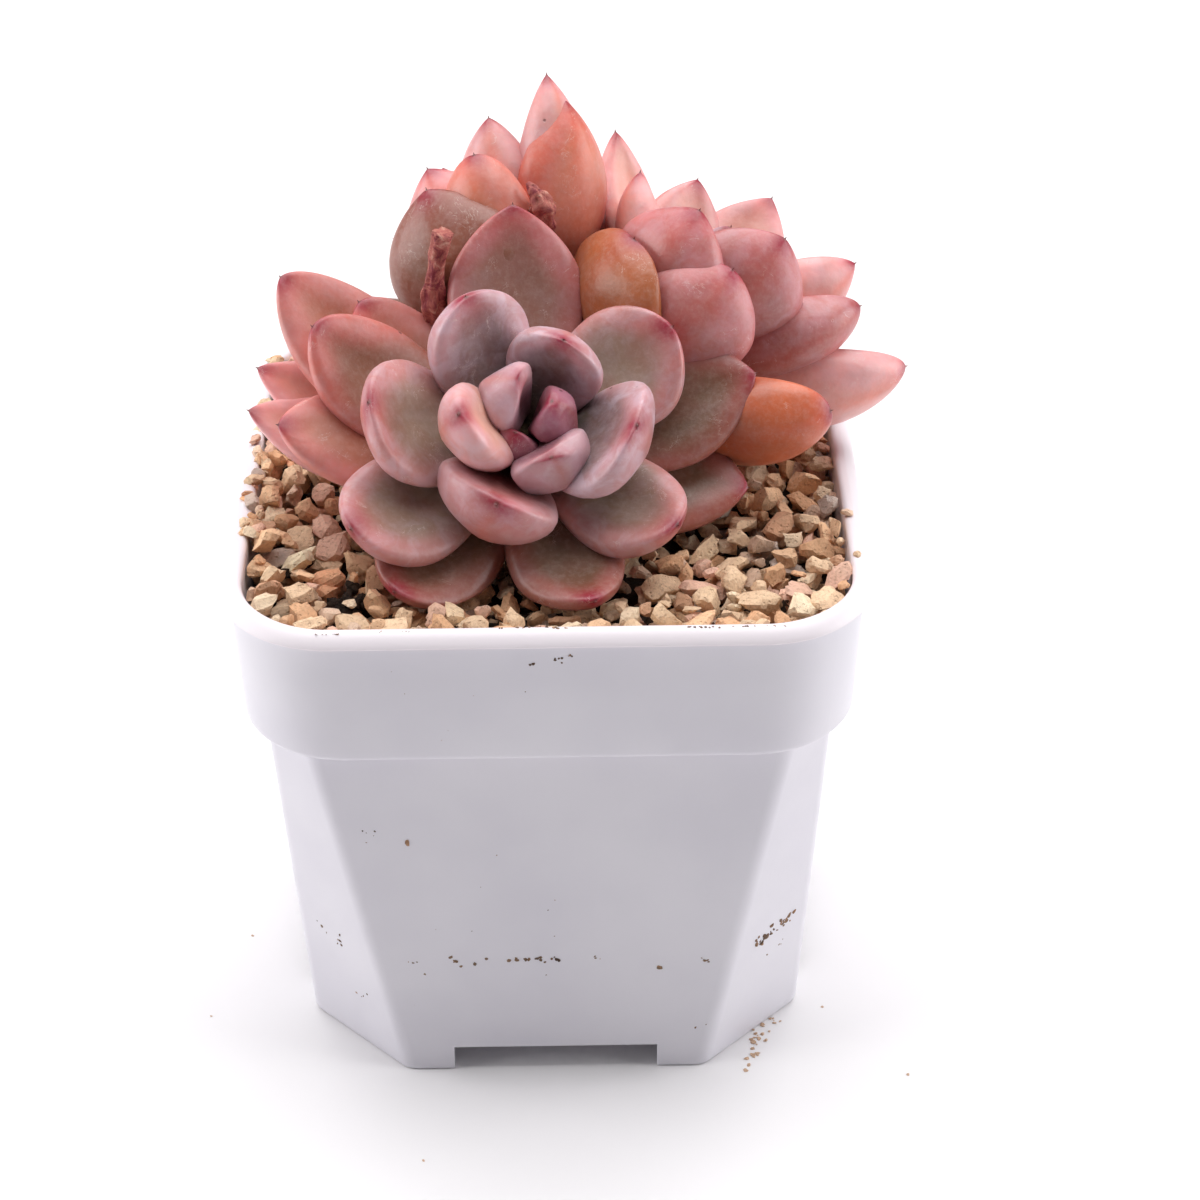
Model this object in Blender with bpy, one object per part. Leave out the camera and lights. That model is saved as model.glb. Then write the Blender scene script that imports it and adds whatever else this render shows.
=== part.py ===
"""A clustered rosette succulent in a small square plastic pot, one object for each piece.

The pot stands on four corner feet at z = 0. Every size is in metres. The plant is a short
branched stem with three heads. Each leaf is placed on its head by its angle around the head's
axis, how far it opens from that axis, and how far down the stem it grows.
"""

import math

import bmesh
import bpy
import numpy as np
from mathutils import Matrix, Vector

MM = 0.001

# The smallest space left between two pieces that touch.
GAP = 0.3 * MM

# Pot: a square tub with a collar, an out-turned lip, chamfered corners and notched feet.
POT_HEIGHT = 68.9 * MM
LIP_HALF = 37.5 * MM
LIP_THICKNESS = 1.5 * MM
LIP_CORNER_RADIUS = 13.5 * MM
LIP_OVERHANG = 1.1 * MM
COLLAR_BOTTOM = POT_HEIGHT - 18.1 * MM
COLLAR_TAPER = 0.8 * MM
COLLAR_STEP = 2.6 * MM
COLLAR_EDGE = 0.8 * MM
WALL = 1.5 * MM
TUB_TAPER = 2.2 * MM
SHOULDER_CHAMFER = 5.3 * MM
BASE_CHAMFER = 12.4 * MM
CHAMFER_SOFTNESS = 3.0 * MM
FOOT_HEIGHT = 4.0 * MM
NOTCH_HALF_WIDTH = 12.6 * MM
NOTCH_HEIGHT = 3.8 * MM
FLOOR_THICKNESS = 1.5 * MM
DRAIN_RADIUS = 2.0 * MM
DRAIN_SPACING = 15.0 * MM
FILLET_STEPS = 3
DRAIN_SIDES = 12

# Fill: potting mix below, a layer of baked-clay grit on top.
GRIT_TOP = POT_HEIGHT - 2.9 * MM
GRIT_DEPTH = 8.0 * MM

# Stem: one trunk that comes out of the grit and branches to the three heads.
TRUNK_RADIUS = 4.0 * MM
BRANCH_RADIUS = 2.6 * MM
BRANCH_TIP_RADIUS = 1.5 * MM
ROOT_DEPTH = 14.0 * MM
TRUNK_FOOT = Vector((0.0, 4.0, 0.0)) * MM
FORK_HEIGHT = GRIT_TOP + 3.0 * MM
STEM_SIDES = 10

# Leaves.
LEAF_RINGS = 8
LEAF_SIDES = 10
LEAF_SEAT = 3.0 * MM
HEART_SEAT = 0.8 * MM
SEAT_STATION = 4.0 * MM
LEAF_BASE_SHARE = 0.32
UPPER_SHARE = 0.8
LOWER_SHARE = 1.2

# Head: centre of the growing tip (mm, heights from the top of the grit), compass angle of its axis
# from the front towards +X, and the axis's angle above level (degrees).
HEADS = {
    "front": ((-2.0, -12.0, 15.0), 15, 54),
    "right": ((18.5, 12.0, 23.0), 120, 58),
    "back": ((-3.5, 20.0, 24.0), 195, 58),
}

# Leaf: name, head, degrees around the axis, degrees open from it, mm down the stem, length, width
# and thickness in mm, bluntness (0.5 round, 0.9 pointed), widest place along the leaf, and roll in
# degrees about the leaf's own length.
LEAVES = (
    ("front_heart_leaf_1", "front", 346, 7, 0.0, 9.0, 7.0, 6.0, 0.70, 0.52, 0),
    ("front_heart_leaf_2", "front", 236, 30, 0.6, 7.5, 6.5, 4.5, 0.60, 0.55, 0),
    ("front_heart_leaf_3", "front", 150, 12, 0.5, 11.0, 8.5, 5.5, 0.55, 0.58, 10),
    ("front_heart_leaf_4", "front", 284, 36, 1.0, 12.0, 10.5, 5.5, 0.60, 0.60, 22),
    ("front_leaf_01", "front", 202, 36, 1.5, 15.0, 10.5, 6.0, 0.50, 0.60, 0),
    ("front_leaf_02", "front", 67, 27, 2.0, 13.5, 11.5, 6.0, 0.50, 0.62, 0),
    ("front_leaf_03", "front", 126, 47, 3.0, 17.5, 13.0, 6.5, 0.55, 0.62, 0),
    ("front_leaf_04", "front", 338, 38, 2.5, 17.0, 15.5, 6.0, 0.50, 0.60, 0),
    ("front_leaf_05", "front", 184, 58, 4.0, 20.0, 15.0, 6.0, 0.50, 0.62, 0),
    ("front_leaf_06", "front", 250, 44, 6.0, 16.0, 15.0, 7.0, 0.55, 0.60, -4),
    ("front_leaf_07", "front", 215, 77, 5.0, 23.0, 14.0, 6.5, 0.50, 0.62, 0),
    ("front_leaf_08", "front", 322, 69, 4.5, 20.0, 13.0, 6.5, 0.50, 0.60, 0),
    ("front_leaf_09", "front", 233, 86, 6.5, 22.5, 14.0, 6.5, 0.55, 0.60, 0),
    ("front_leaf_10", "front", 289, 77, 6.0, 21.0, 13.5, 6.5, 0.60, 0.58, 0),
    ("front_leaf_11", "front", 34, 59, 4.5, 20.0, 15.0, 6.0, 0.60, 0.60, 0),
    ("front_leaf_12", "front", 15, 69, 6.5, 26.5, 15.5, 6.5, 0.85, 0.58, 4),
    ("front_leaf_13", "front", 351, 82, 8.0, 24.5, 13.5, 6.5, 0.75, 0.58, 0),
    ("front_leaf_14", "front", 95, 65, 6.5, 26.5, 16.0, 6.5, 0.80, 0.60, 0),
    ("front_leaf_15", "front", 157, 74, 6.5, 26.0, 13.5, 6.5, 0.60, 0.60, 0),
    ("front_leaf_16", "front", 140, 79, 8.0, 23.5, 12.0, 6.0, 0.60, 0.58, 0),
    ("front_leaf_17", "front", 147, 79, 9.0, 32.5, 13.5, 6.0, 0.65, 0.60, 0),
    ("front_leaf_18", "front", 180, 79, 8.0, 26.5, 12.0, 6.0, 0.70, 0.58, 0),
    ("front_leaf_19", "front", 171, 90, 10.0, 29.5, 10.0, 5.5, 0.80, 0.58, 0),
    ("front_leaf_20", "front", 161, 89, 10.5, 30.0, 10.0, 5.0, 0.80, 0.58, 0),
    ("right_leaf_01", "right", 167, 34, 6.0, 16.0, 8.0, 4.0, 0.90, 0.50, 43),
    ("right_leaf_02", "right", 115, 31, 3.5, 14.5, 11.0, 5.0, 0.90, 0.50, 0),
    ("right_leaf_03", "right", 62, 28, 5.0, 18.0, 12.0, 5.0, 0.90, 0.52, 0),
    ("right_leaf_04", "right", 248, 28, 9.0, 19.0, 16.0, 6.0, 0.80, 0.52, -12),
    ("right_leaf_05", "right", 150, 45, 6.0, 22.0, 8.0, 4.5, 0.90, 0.55, -28),
    ("right_leaf_06", "right", 302, 28, 8.0, 19.5, 16.5, 6.0, 0.75, 0.55, -25),
    ("right_leaf_07", "right", 358, 37, 9.0, 23.0, 11.5, 5.0, 0.80, 0.55, -60),
    ("right_leaf_08", "right", 278, 34, 13.5, 20.0, 15.0, 6.5, 0.65, 0.60, -16),
    ("right_leaf_09", "right", 342, 43, 13.0, 25.0, 9.5, 6.5, 0.60, 0.58, -60),
    ("right_leaf_10", "right", 226, 34, 16.5, 21.0, 16.5, 5.5, 0.42, 0.66, -8),
    ("right_leaf_11", "right", 353, 58, 15.0, 29.8, 12.0, 6.0, 0.65, 0.55, -55),
    ("right_leaf_12", "right", 318, 63, 18.0, 26.0, 11.5, 6.5, 0.50, 0.60, -50),
    ("right_leaf_13", "right", 20, 60, 11.0, 22.0, 12.5, 5.5, 0.70, 0.56, 0),
    ("right_leaf_14", "right", 85, 52, 8.0, 21.0, 13.0, 5.5, 0.75, 0.56, 0),
    ("right_leaf_15", "right", 125, 62, 11.0, 22.0, 12.5, 5.5, 0.70, 0.56, 0),
    ("right_leaf_16", "right", 55, 74, 13.0, 23.0, 13.0, 6.0, 0.70, 0.56, 0),
    ("back_leaf_01", "back", 302, 23, 5.5, 25.0, 9.5, 6.0, 0.90, 0.50, 0),
    ("back_leaf_02", "back", 264, 22, 5.0, 20.0, 10.0, 5.5, 0.80, 0.50, 0),
    ("back_leaf_03", "back", 256, 37, 7.5, 20.0, 11.0, 6.0, 0.55, 0.58, 0),
    ("back_leaf_04", "back", 306, 26, 8.0, 25.0, 13.0, 6.5, 0.85, 0.48, 0),
    ("back_leaf_05", "back", 226, 30, 9.5, 21.0, 14.0, 5.5, 0.85, 0.55, 30),
    ("back_leaf_06", "back", 235, 34, 15.0, 25.0, 18.0, 6.5, 0.75, 0.60, 18),
    ("back_leaf_07", "back", 80, 50, 4.0, 18.0, 12.5, 5.5, 0.70, 0.58, 0),
    ("back_leaf_08", "back", 165, 60, 5.5, 15.0, 11.0, 5.5, 0.70, 0.58, 0),
    ("back_leaf_09", "back", 50, 68, 6.5, 21.0, 13.5, 6.0, 0.70, 0.58, 0),
    ("back_leaf_10", "back", 112, 70, 7.0, 21.0, 14.0, 6.0, 0.70, 0.58, 0),
    ("back_leaf_11", "back", 160, 78, 8.5, 22.0, 14.0, 6.0, 0.70, 0.58, 0),
    ("back_leaf_12", "back", 15, 80, 9.0, 22.0, 13.5, 6.0, 0.70, 0.58, 0),
    ("back_leaf_13", "back", 80, 86, 10.0, 22.0, 13.5, 6.0, 0.70, 0.58, 0),
)

# Withered bits caught between the leaves: name, start, middle and end of the spine and the radii at
# those places (mm, heights from the top of the grit).
WITHERED = (
    ("flower_stalk_stub", ((-12.5, 4.5, 18.0), (-13.0, 2.8, 24.5), (-11.6, 2.0, 33.2)), (1.2, 1.5, 1.3)),
    ("withered_leaf_back", ((0.2, 11.0, 28.5), (-0.2, 9.0, 33.3), (-1.8, 10.0, 35.6)), (0.9, 1.4, 0.5)),
    ("withered_leaf_right", ((11.0, 1.5, 23.5), (12.6, -0.5, 25.2), (15.2, -0.5, 23.6)), (0.7, 1.1, 0.5)),
)
WITHERED_SIDES = 8

PLASTIC_WHITE = ((0.86, 0.85, 0.88), 0.42)
SOIL_BROWN = ((0.09, 0.06, 0.045), 0.95)
CLAY_TAN = ((0.56, 0.36, 0.2), 0.92)
STEM_BROWN = ((0.3, 0.24, 0.15), 0.8)
DRY_RED = ((0.3, 0.1, 0.07), 0.8)
LEAF_BLOOM = ((0.5, 0.38, 0.42), 0.5)
LEAF_PINK = ((0.6, 0.31, 0.27), 0.45)
LEAF_OLIVE = ((0.38, 0.27, 0.2), 0.45)


def unit(vector):
    return vector / vector.length


# Pot outlines ------------------------------------------------------------------------------------

FULL_ROUND = 1.0 + math.sqrt(0.5)
OFFSET_SHARE = 2.0 - math.sqrt(2.0)


def cut_square(half, cut, softness, z):
    """One level of the pot: a square whose corners are cut at 45 degrees, each bend an arc."""
    radius = min(softness, 0.97 * FULL_ROUND * cut)
    reach = radius * math.tan(math.radians(22.5))
    bends = (
        (half - radius, half - cut - reach, 0.0),
        (half - cut - reach, half - radius, 45.0),
    )
    points = []
    for quarter in range(4):
        turn = Matrix.Rotation(math.radians(90.0 * quarter), 4, "Z")
        for x, y, start in bends:
            for step in range(FILLET_STEPS + 1):
                angle = math.radians(start + 45.0 * step / FILLET_STEPS)
                arc = Vector((x + radius * math.cos(angle), y + radius * math.sin(angle), z))
                points.append(turn @ arc)
    return points


def round_square(half, radius, z):
    """One level of the collar: a square with round corners, made of the same points."""
    return cut_square(half, radius / FULL_ROUND, radius, z)


def body_level(z, inset):
    """The tub's outline at height z, moved inwards by inset."""
    share = z / COLLAR_BOTTOM
    half = LIP_HALF - LIP_OVERHANG - COLLAR_TAPER - COLLAR_STEP - TUB_TAPER * (1.0 - share)
    chamfer = BASE_CHAMFER + (SHOULDER_CHAMFER - BASE_CHAMFER) * share
    softness = max(CHAMFER_SOFTNESS - inset, 1.0 * MM)
    return cut_square(half - inset, chamfer - OFFSET_SHARE * inset, softness, z)


def collar_level(z, inset):
    """The collar's outline at height z, moved inwards by inset."""
    rise = POT_HEIGHT - LIP_THICKNESS - COLLAR_BOTTOM
    share = (z - COLLAR_BOTTOM) / rise
    half = LIP_HALF - LIP_OVERHANG - COLLAR_TAPER * (1.0 - share)
    return round_square(half - inset, LIP_CORNER_RADIUS - LIP_OVERHANG - inset, z)


# Solids ------------------------------------------------------------------------------------------


def material(name, look):
    colour, roughness = look
    made = bpy.data.materials.new(name)
    made.use_nodes = True
    shader = made.node_tree.nodes["Principled BSDF"]
    shader.inputs["Base Color"].default_value = (*colour, 1.0)
    shader.inputs["Roughness"].default_value = roughness
    return made


def add_object(name, bm, look=None, smooth=35.0):
    bmesh.ops.recalc_face_normals(bm, faces=bm.faces)
    mesh = bpy.data.meshes.new(name)
    bm.to_mesh(mesh)
    bm.free()
    mesh.shade_smooth()
    mesh.set_sharp_from_angle(angle=math.radians(smooth))
    made = bpy.data.objects.new(name, mesh)
    bpy.context.scene.collection.objects.link(made)
    if look is None:
        made.hide_render = True
        made.display_type = "WIRE"
    else:
        mesh.materials.append(look)
    return made


def loft(levels):
    """A closed skin over rings that have equally many points, with a flat cap on each end."""
    bm = bmesh.new()
    rings = [[bm.verts.new(point) for point in level] for level in levels]
    for lower, upper in zip(rings, rings[1:]):
        for here in range(len(lower)):
            after = (here + 1) % len(lower)
            bm.faces.new((lower[here], lower[after], upper[after], upper[here]))
    bm.faces.new(rings[0])
    bm.faces.new(rings[-1])
    return bm


def boolean(target, other, operation):
    modifier = target.modifiers.new(other.name, "BOOLEAN")
    modifier.operation = operation
    modifier.solver = "EXACT"
    modifier.object = other


def drum(name, centre, radius, low, high, sides):
    """An upright cylinder used as a cutter."""
    levels = []
    for z in (low, high):
        turns = [2.0 * math.pi * side / sides for side in range(sides)]
        levels.append([centre + Vector((radius * math.cos(t), radius * math.sin(t), z)) for t in turns])
    return add_object(name, loft(levels))


def block(name, half_x, half_y, low, high):
    """A box centred on the pot's axis, used as a cutter."""
    corners = ((-half_x, -half_y), (half_x, -half_y), (half_x, half_y), (-half_x, half_y))
    return add_object(name, loft([[Vector((x, y, z)) for x, y in corners] for z in (low, high)]))


def smooth_path(start, middle, end, steps):
    """Points on the one curve of second degree that passes all three places."""
    handle = 2.0 * middle - 0.5 * (start + end)
    points = []
    for step in range(steps + 1):
        t = step / steps
        points.append((1 - t) ** 2 * start + 2 * t * (1 - t) * handle + t**2 * end)
    return points


def tube_levels(path, radii, sides):
    """Rings square to a path, with a radius for each of its points."""
    levels = []
    for index, centre in enumerate(path):
        before = path[max(index - 1, 0)]
        after = path[min(index + 1, len(path) - 1)]
        forward = unit(after - before)
        side = unit(forward.cross(Vector((0.31, 0.95, 0.02))))
        other = forward.cross(side)
        turns = [2.0 * math.pi * k / sides for k in range(sides)]
        ring = [centre + radii[index] * (math.cos(t) * side + math.sin(t) * other) for t in turns]
        levels.append(ring)
    return levels


# Pieces ------------------------------------------------------------------------------------------


def make_pot(look):
    edge = 0.35 * LIP_THICKNESS
    inner_half = LIP_HALF - LIP_OVERHANG - WALL
    inner_radius = LIP_CORNER_RADIUS - LIP_OVERHANG - WALL
    lip_bottom = POT_HEIGHT - LIP_THICKNESS
    ledge = COLLAR_BOTTOM + WALL
    levels = (
        body_level(FOOT_HEIGHT, WALL),
        body_level(0.0, WALL),
        body_level(0.0, 0.0),
        body_level(COLLAR_BOTTOM, 0.0),
        collar_level(COLLAR_BOTTOM, COLLAR_EDGE),
        collar_level(COLLAR_BOTTOM + COLLAR_EDGE, 0.0),
        collar_level(lip_bottom, 0.0),
        round_square(LIP_HALF - edge, LIP_CORNER_RADIUS - edge, lip_bottom),
        round_square(LIP_HALF, LIP_CORNER_RADIUS, lip_bottom + edge),
        round_square(LIP_HALF, LIP_CORNER_RADIUS, POT_HEIGHT - edge),
        round_square(LIP_HALF - edge, LIP_CORNER_RADIUS - edge, POT_HEIGHT),
        round_square(inner_half + edge, inner_radius + edge, POT_HEIGHT),
        round_square(inner_half, inner_radius, POT_HEIGHT - edge),
        collar_level(ledge, WALL),
        body_level(ledge, WALL),
        body_level(FOOT_HEIGHT + FLOOR_THICKNESS, WALL),
    )
    pot = add_object("pot", loft(levels), look)
    beyond = LIP_HALF + 5.0 * MM
    under = -5.0 * MM
    boolean(pot, block("notch_front_back", NOTCH_HALF_WIDTH, beyond, under, NOTCH_HEIGHT), "DIFFERENCE")
    boolean(pot, block("notch_left_right", beyond, NOTCH_HALF_WIDTH, under, NOTCH_HEIGHT), "DIFFERENCE")
    above = FOOT_HEIGHT + FLOOR_THICKNESS + 2.0 * MM
    for row in (-1, 0, 1):
        for column in (-1, 0, 1):
            centre = Vector((column * DRAIN_SPACING, row * DRAIN_SPACING, 0.0))
            name = f"drain_{row + 1}_{column + 1}"
            boolean(pot, drum(name, centre, DRAIN_RADIUS, 0.0, above, DRAIN_SIDES), "DIFFERENCE")
    return pot


def make_fill(mix_look, grit_look):
    """Potting mix up to the grit, then the grit layer, both with a hole for the trunk."""
    ledge = COLLAR_BOTTOM + WALL + GAP
    meeting = GRIT_TOP - GRIT_DEPTH
    clear = WALL + GAP
    mix_levels = (
        body_level(FOOT_HEIGHT + FLOOR_THICKNESS + GAP, clear),
        body_level(ledge, clear),
        collar_level(ledge, clear),
        collar_level(meeting - GAP, clear),
    )
    grit_levels = (collar_level(meeting, clear), collar_level(GRIT_TOP, clear))
    mix = add_object("potting_mix", loft(mix_levels), mix_look)
    grit = add_object("grit_layer", loft(grit_levels), grit_look)
    radius = TRUNK_RADIUS + GAP
    low = meeting - ROOT_DEPTH - GAP
    high = GRIT_TOP + 5.0 * MM
    socket = drum("trunk_socket", TRUNK_FOOT, radius, low, high, STEM_SIDES * 2)
    boolean(mix, socket, "DIFFERENCE")
    boolean(grit, socket, "DIFFERENCE")
    return mix, grit


def head_axis(head):
    _, compass, rise = HEADS[head]
    turn = math.radians(compass)
    lift = math.radians(rise)
    level = math.cos(lift)
    return Vector((math.sin(turn) * level, -math.cos(turn) * level, math.sin(lift)))


def above_grit(place):
    """A place on the plant, given in mm with its height from the top of the grit."""
    return Vector(place) * MM + Vector((0.0, 0.0, GRIT_TOP))


def head_tip(head):
    return above_grit(HEADS[head][0])


def branch_levels(head):
    """Rings of one branch, from the fork past its lowest leaf to its growing tip."""
    reach = max(leaf[4] for leaf in LEAVES if leaf[1] == head) * MM
    fork = TRUNK_FOOT + Vector((0.0, 0.0, FORK_HEIGHT - 2.0 * MM))
    tip = head_tip(head)
    path = smooth_path(fork, tip - 0.8 * reach * head_axis(head), tip, 6)
    radii = [BRANCH_RADIUS + (BRANCH_TIP_RADIUS - BRANCH_RADIUS) * k / 6 for k in range(7)]
    return tube_levels(path, radii, STEM_SIDES)


def trunk_levels():
    low = GRIT_TOP - GRIT_DEPTH - ROOT_DEPTH
    shoulder = FORK_HEIGHT - 1.5 * MM
    heights = (low, low + 3.0 * MM, shoulder, FORK_HEIGHT + 0.5 * MM)
    radii = (0.6 * TRUNK_RADIUS, TRUNK_RADIUS, TRUNK_RADIUS, 0.7 * TRUNK_RADIUS)
    path = [TRUNK_FOOT + Vector((0.0, 0.0, z)) for z in heights]
    return tube_levels(path, radii, STEM_SIDES)


def make_stem(look):
    stem = add_object("stem", loft(trunk_levels()), look, smooth=60.0)
    for head in HEADS:
        boolean(stem, add_object(f"branch_{head}", loft(branch_levels(head))), "UNION")
    return stem


def withered_levels(spine, radii):
    start, middle, end = (above_grit(place) for place in spine)
    path = smooth_path(start, middle, end, 4)
    first, second, last = (radius * MM for radius in radii)
    widths = (first, 0.5 * (first + second), second, 0.5 * (second + last), last)
    return tube_levels(path, widths, WITHERED_SIDES)


# Leaves ------------------------------------------------------------------------------------------


def leaf_points(leaf):
    """Points on a leaf's skin, ring by ring, and its tip.

    The half width grows as a sine from the base to the widest place and closes to the tip as
    (1 - t squared) to the power of the bluntness. The section is a flattened ellipse, fuller below.
    """
    _, head, around, opening, station, length, width, thickness, bluntness, widest, roll = leaf
    axis = head_axis(head)
    across = unit(Vector((1.0, 0.0, 0.0)) - axis * axis.x)
    turn = math.radians(around)
    outward = math.cos(turn) * across + math.sin(turn) * axis.cross(across)
    lean = math.radians(opening)
    along = math.cos(lean) * axis + math.sin(lean) * outward
    upper = math.sin(lean) * axis - math.cos(lean) * outward
    upper = Matrix.Rotation(math.radians(roll), 3, along) @ upper
    side = along.cross(upper)
    share = min(station * MM / SEAT_STATION, 1.0)
    seat = HEART_SEAT + (LEAF_SEAT - HEART_SEAT) * share
    base = head_tip(head) - station * MM * axis + seat * outward
    points = []
    for ring in range(LEAF_RINGS):
        u = 1.0 - (1.0 - ring / LEAF_RINGS) ** 1.5
        rise = math.sin(0.5 * math.pi * min(u / widest, 1.0))
        closing = max(u - widest, 0.0) / (1.0 - widest)
        half_width = LEAF_BASE_SHARE + (1.0 - LEAF_BASE_SHARE) * rise
        half_width *= 0.5 * width * MM * (1.0 - closing**2) ** bluntness
        half_depth = 0.5 * thickness * MM * (0.6 + 0.4 * rise) * (1.0 - closing**2.4) ** 0.6
        half_depth = min(half_depth, 0.95 * half_width)
        for side_step in range(LEAF_SIDES):
            angle = 2.0 * math.pi * side_step / LEAF_SIDES
            height = math.copysign(abs(math.sin(angle)) ** 0.85, math.sin(angle))
            height *= half_depth * (UPPER_SHARE if height > 0.0 else LOWER_SHARE)
            offset = half_width * math.cos(angle) * side + height * upper
            points.append(base + u * length * MM * along + offset)
    points.append(base + length * MM * along)
    return points


def hull(points):
    bm = bmesh.new()
    for point in points:
        bm.verts.new(point)
    found = bmesh.ops.convex_hull(bm, input=bm.verts)
    loose = [item for item in found["geom_interior"] if isinstance(item, bmesh.types.BMVert)]
    bmesh.ops.delete(bm, geom=loose, context="VERTS")
    return bm


def trimmed(points, normal, offset):
    """The corners of what is left of a convex piece on the side where normal . p >= offset."""
    bm = hull(points)
    every = bm.verts[:] + bm.edges[:] + bm.faces[:]
    bmesh.ops.bisect_plane(bm, geom=every, plane_co=normal * offset, plane_no=normal, clear_inner=True)
    kept = [vert.co.copy() for vert in bm.verts]
    bm.free()
    return kept


def spread_directions(count):
    """Evenly spread unit vectors, on a spiral from pole to pole."""
    golden = math.pi * (3.0 - math.sqrt(5.0))
    directions = []
    for index in range(count):
        z = 1.0 - (2.0 * index + 1.0) / count
        level = math.sqrt(1.0 - z * z)
        directions.append((level * math.cos(golden * index), level * math.sin(golden * index), z))
    return np.array(directions)


DIRECTIONS = spread_directions(240)
TIP_WEIGHT = 20.0
REFINEMENTS = (0.25, 0.08, 0.025)


def parting_plane(first, second, first_tip, second_tip):
    """The plane that parts two convex pieces with the least cut, and how deep that cut is.

    The first piece ends on the low side of the plane. A plane that would cut a tip off costs
    more, so each leaf keeps its outer end.
    """
    first = np.array(first)
    second = np.array(second)
    normals = DIRECTIONS
    for width in (*REFINEMENTS, 0.0):
        reach = (normals @ first.T).max(axis=1)
        start = (normals @ second.T).min(axis=1)
        middle = 0.5 * (reach + start)
        depth = reach - start
        lost = np.maximum(0.0, normals @ first_tip - middle) + np.maximum(0.0, middle - normals @ second_tip)
        best = np.argmin(depth + TIP_WEIGHT * lost)
        normal = normals[best]
        if width:
            spread = normal + width * DIRECTIONS
            normals = np.vstack([normal, spread / np.linalg.norm(spread, axis=1)[:, None]])
    return Vector(normal), float(reach[best]), float(start[best])


def boxes_meet(first, second):
    for axis in range(3):
        low = max(min(p[axis] for p in first), min(p[axis] for p in second))
        high = min(max(p[axis] for p in first), max(p[axis] for p in second))
        if low - high > GAP:
            return False
    return True


def clear_of_solid(points, tip, solid):
    """What is left of a leaf when it stops short of a convex solid that isn't cut itself."""
    if not boxes_meet(points, solid):
        return points
    middle = sum(solid, Vector()) / len(solid)
    normal, reach, start = parting_plane(solid, points, middle, tip)
    if start - reach >= GAP:
        return points
    return trimmed(points, normal, reach + GAP)


def part_leaves(shapes, tips):
    """Cuts each pair of leaves that meet along one plane, with the gap between them."""
    names = list(shapes)
    for index, first in enumerate(names):
        for second in names[index + 1 :]:
            if not boxes_meet(shapes[first], shapes[second]):
                continue
            normal, reach, start = parting_plane(shapes[first], shapes[second], tips[first], tips[second])
            if start - reach >= GAP:
                continue
            middle = 0.5 * (reach + start)
            shapes[first] = trimmed(shapes[first], -normal, -(middle - 0.5 * GAP))
            shapes[second] = trimmed(shapes[second], normal, middle + 0.5 * GAP)


def make_leaves(solids, look_of):
    """Every leaf, lying on the grit where it reaches it, clear of the stem and of other leaves."""
    shapes = {}
    tips = {}
    for leaf in LEAVES:
        points = leaf_points(leaf)
        tip = points[-1].copy()
        tip.z = max(tip.z, GRIT_TOP + 1.0 * MM)
        points = trimmed(points, Vector((0.0, 0.0, 1.0)), GRIT_TOP + GAP)
        for solid in solids:
            points = clear_of_solid(points, tip, solid)
        shapes[leaf[0]] = points
        tips[leaf[0]] = tip
    part_leaves(shapes, tips)
    return [add_object(name, hull(points), look_of(name)) for name, points in shapes.items()]


def convex_runs(levels):
    """The convex solids between neighbouring rings of a tube."""
    return [lower + upper for lower, upper in zip(levels, levels[1:])]


def centre_on_origin(made):
    """Parents every piece to one empty, placed so that the whole stands centred on the origin."""
    corners = [vertex.co for piece in made for vertex in piece.data.vertices]
    root = bpy.data.objects.new("potted_succulent", None)
    bpy.context.scene.collection.objects.link(root)
    for axis in (0, 1):
        values = [corner[axis] for corner in corners]
        root.location[axis] = -0.5 * (min(values) + max(values))
    for piece in bpy.context.scene.collection.objects:
        if piece is not root:
            piece.parent = root


def main():
    for old in list(bpy.data.objects):
        bpy.data.objects.remove(old)
    leaf_looks = {
        "heart": material("leaf_bloom", LEAF_BLOOM),
        "pink": material("leaf_pink", LEAF_PINK),
        "olive": material("leaf_olive", LEAF_OLIVE),
    }

    def look_of(name):
        if "heart" in name:
            return leaf_looks["heart"]
        return leaf_looks["olive" if name.startswith("front") else "pink"]

    pot = make_pot(material("white_plastic", PLASTIC_WHITE))
    mix, grit = make_fill(material("potting_mix", SOIL_BROWN), material("clay_grit", CLAY_TAN))
    stem = make_stem(material("stem_bark", STEM_BROWN))
    dry = material("withered", DRY_RED)
    solids = [run for head in HEADS for run in convex_runs(branch_levels(head))]
    solids += convex_runs(trunk_levels())
    withered = []
    for name, spine, radii in WITHERED:
        levels = withered_levels(spine, radii)
        withered.append(add_object(name, loft(levels), dry, smooth=60.0))
        solids += convex_runs(levels)
    leaves = make_leaves(solids, look_of)
    centre_on_origin([pot, mix, grit, stem, *withered, *leaves])


main()
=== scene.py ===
"""A clustered rosette succulent in a small square white pot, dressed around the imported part.

All lengths are in millimetres, and turn into metres where a mesh is made. Heights on the plant are
counted from the top of the grit and places across it from the pot's own axis.
"""

import math

import bpy
import numpy as np
from mathutils import Matrix, Vector
from mathutils.kdtree import KDTree


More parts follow.
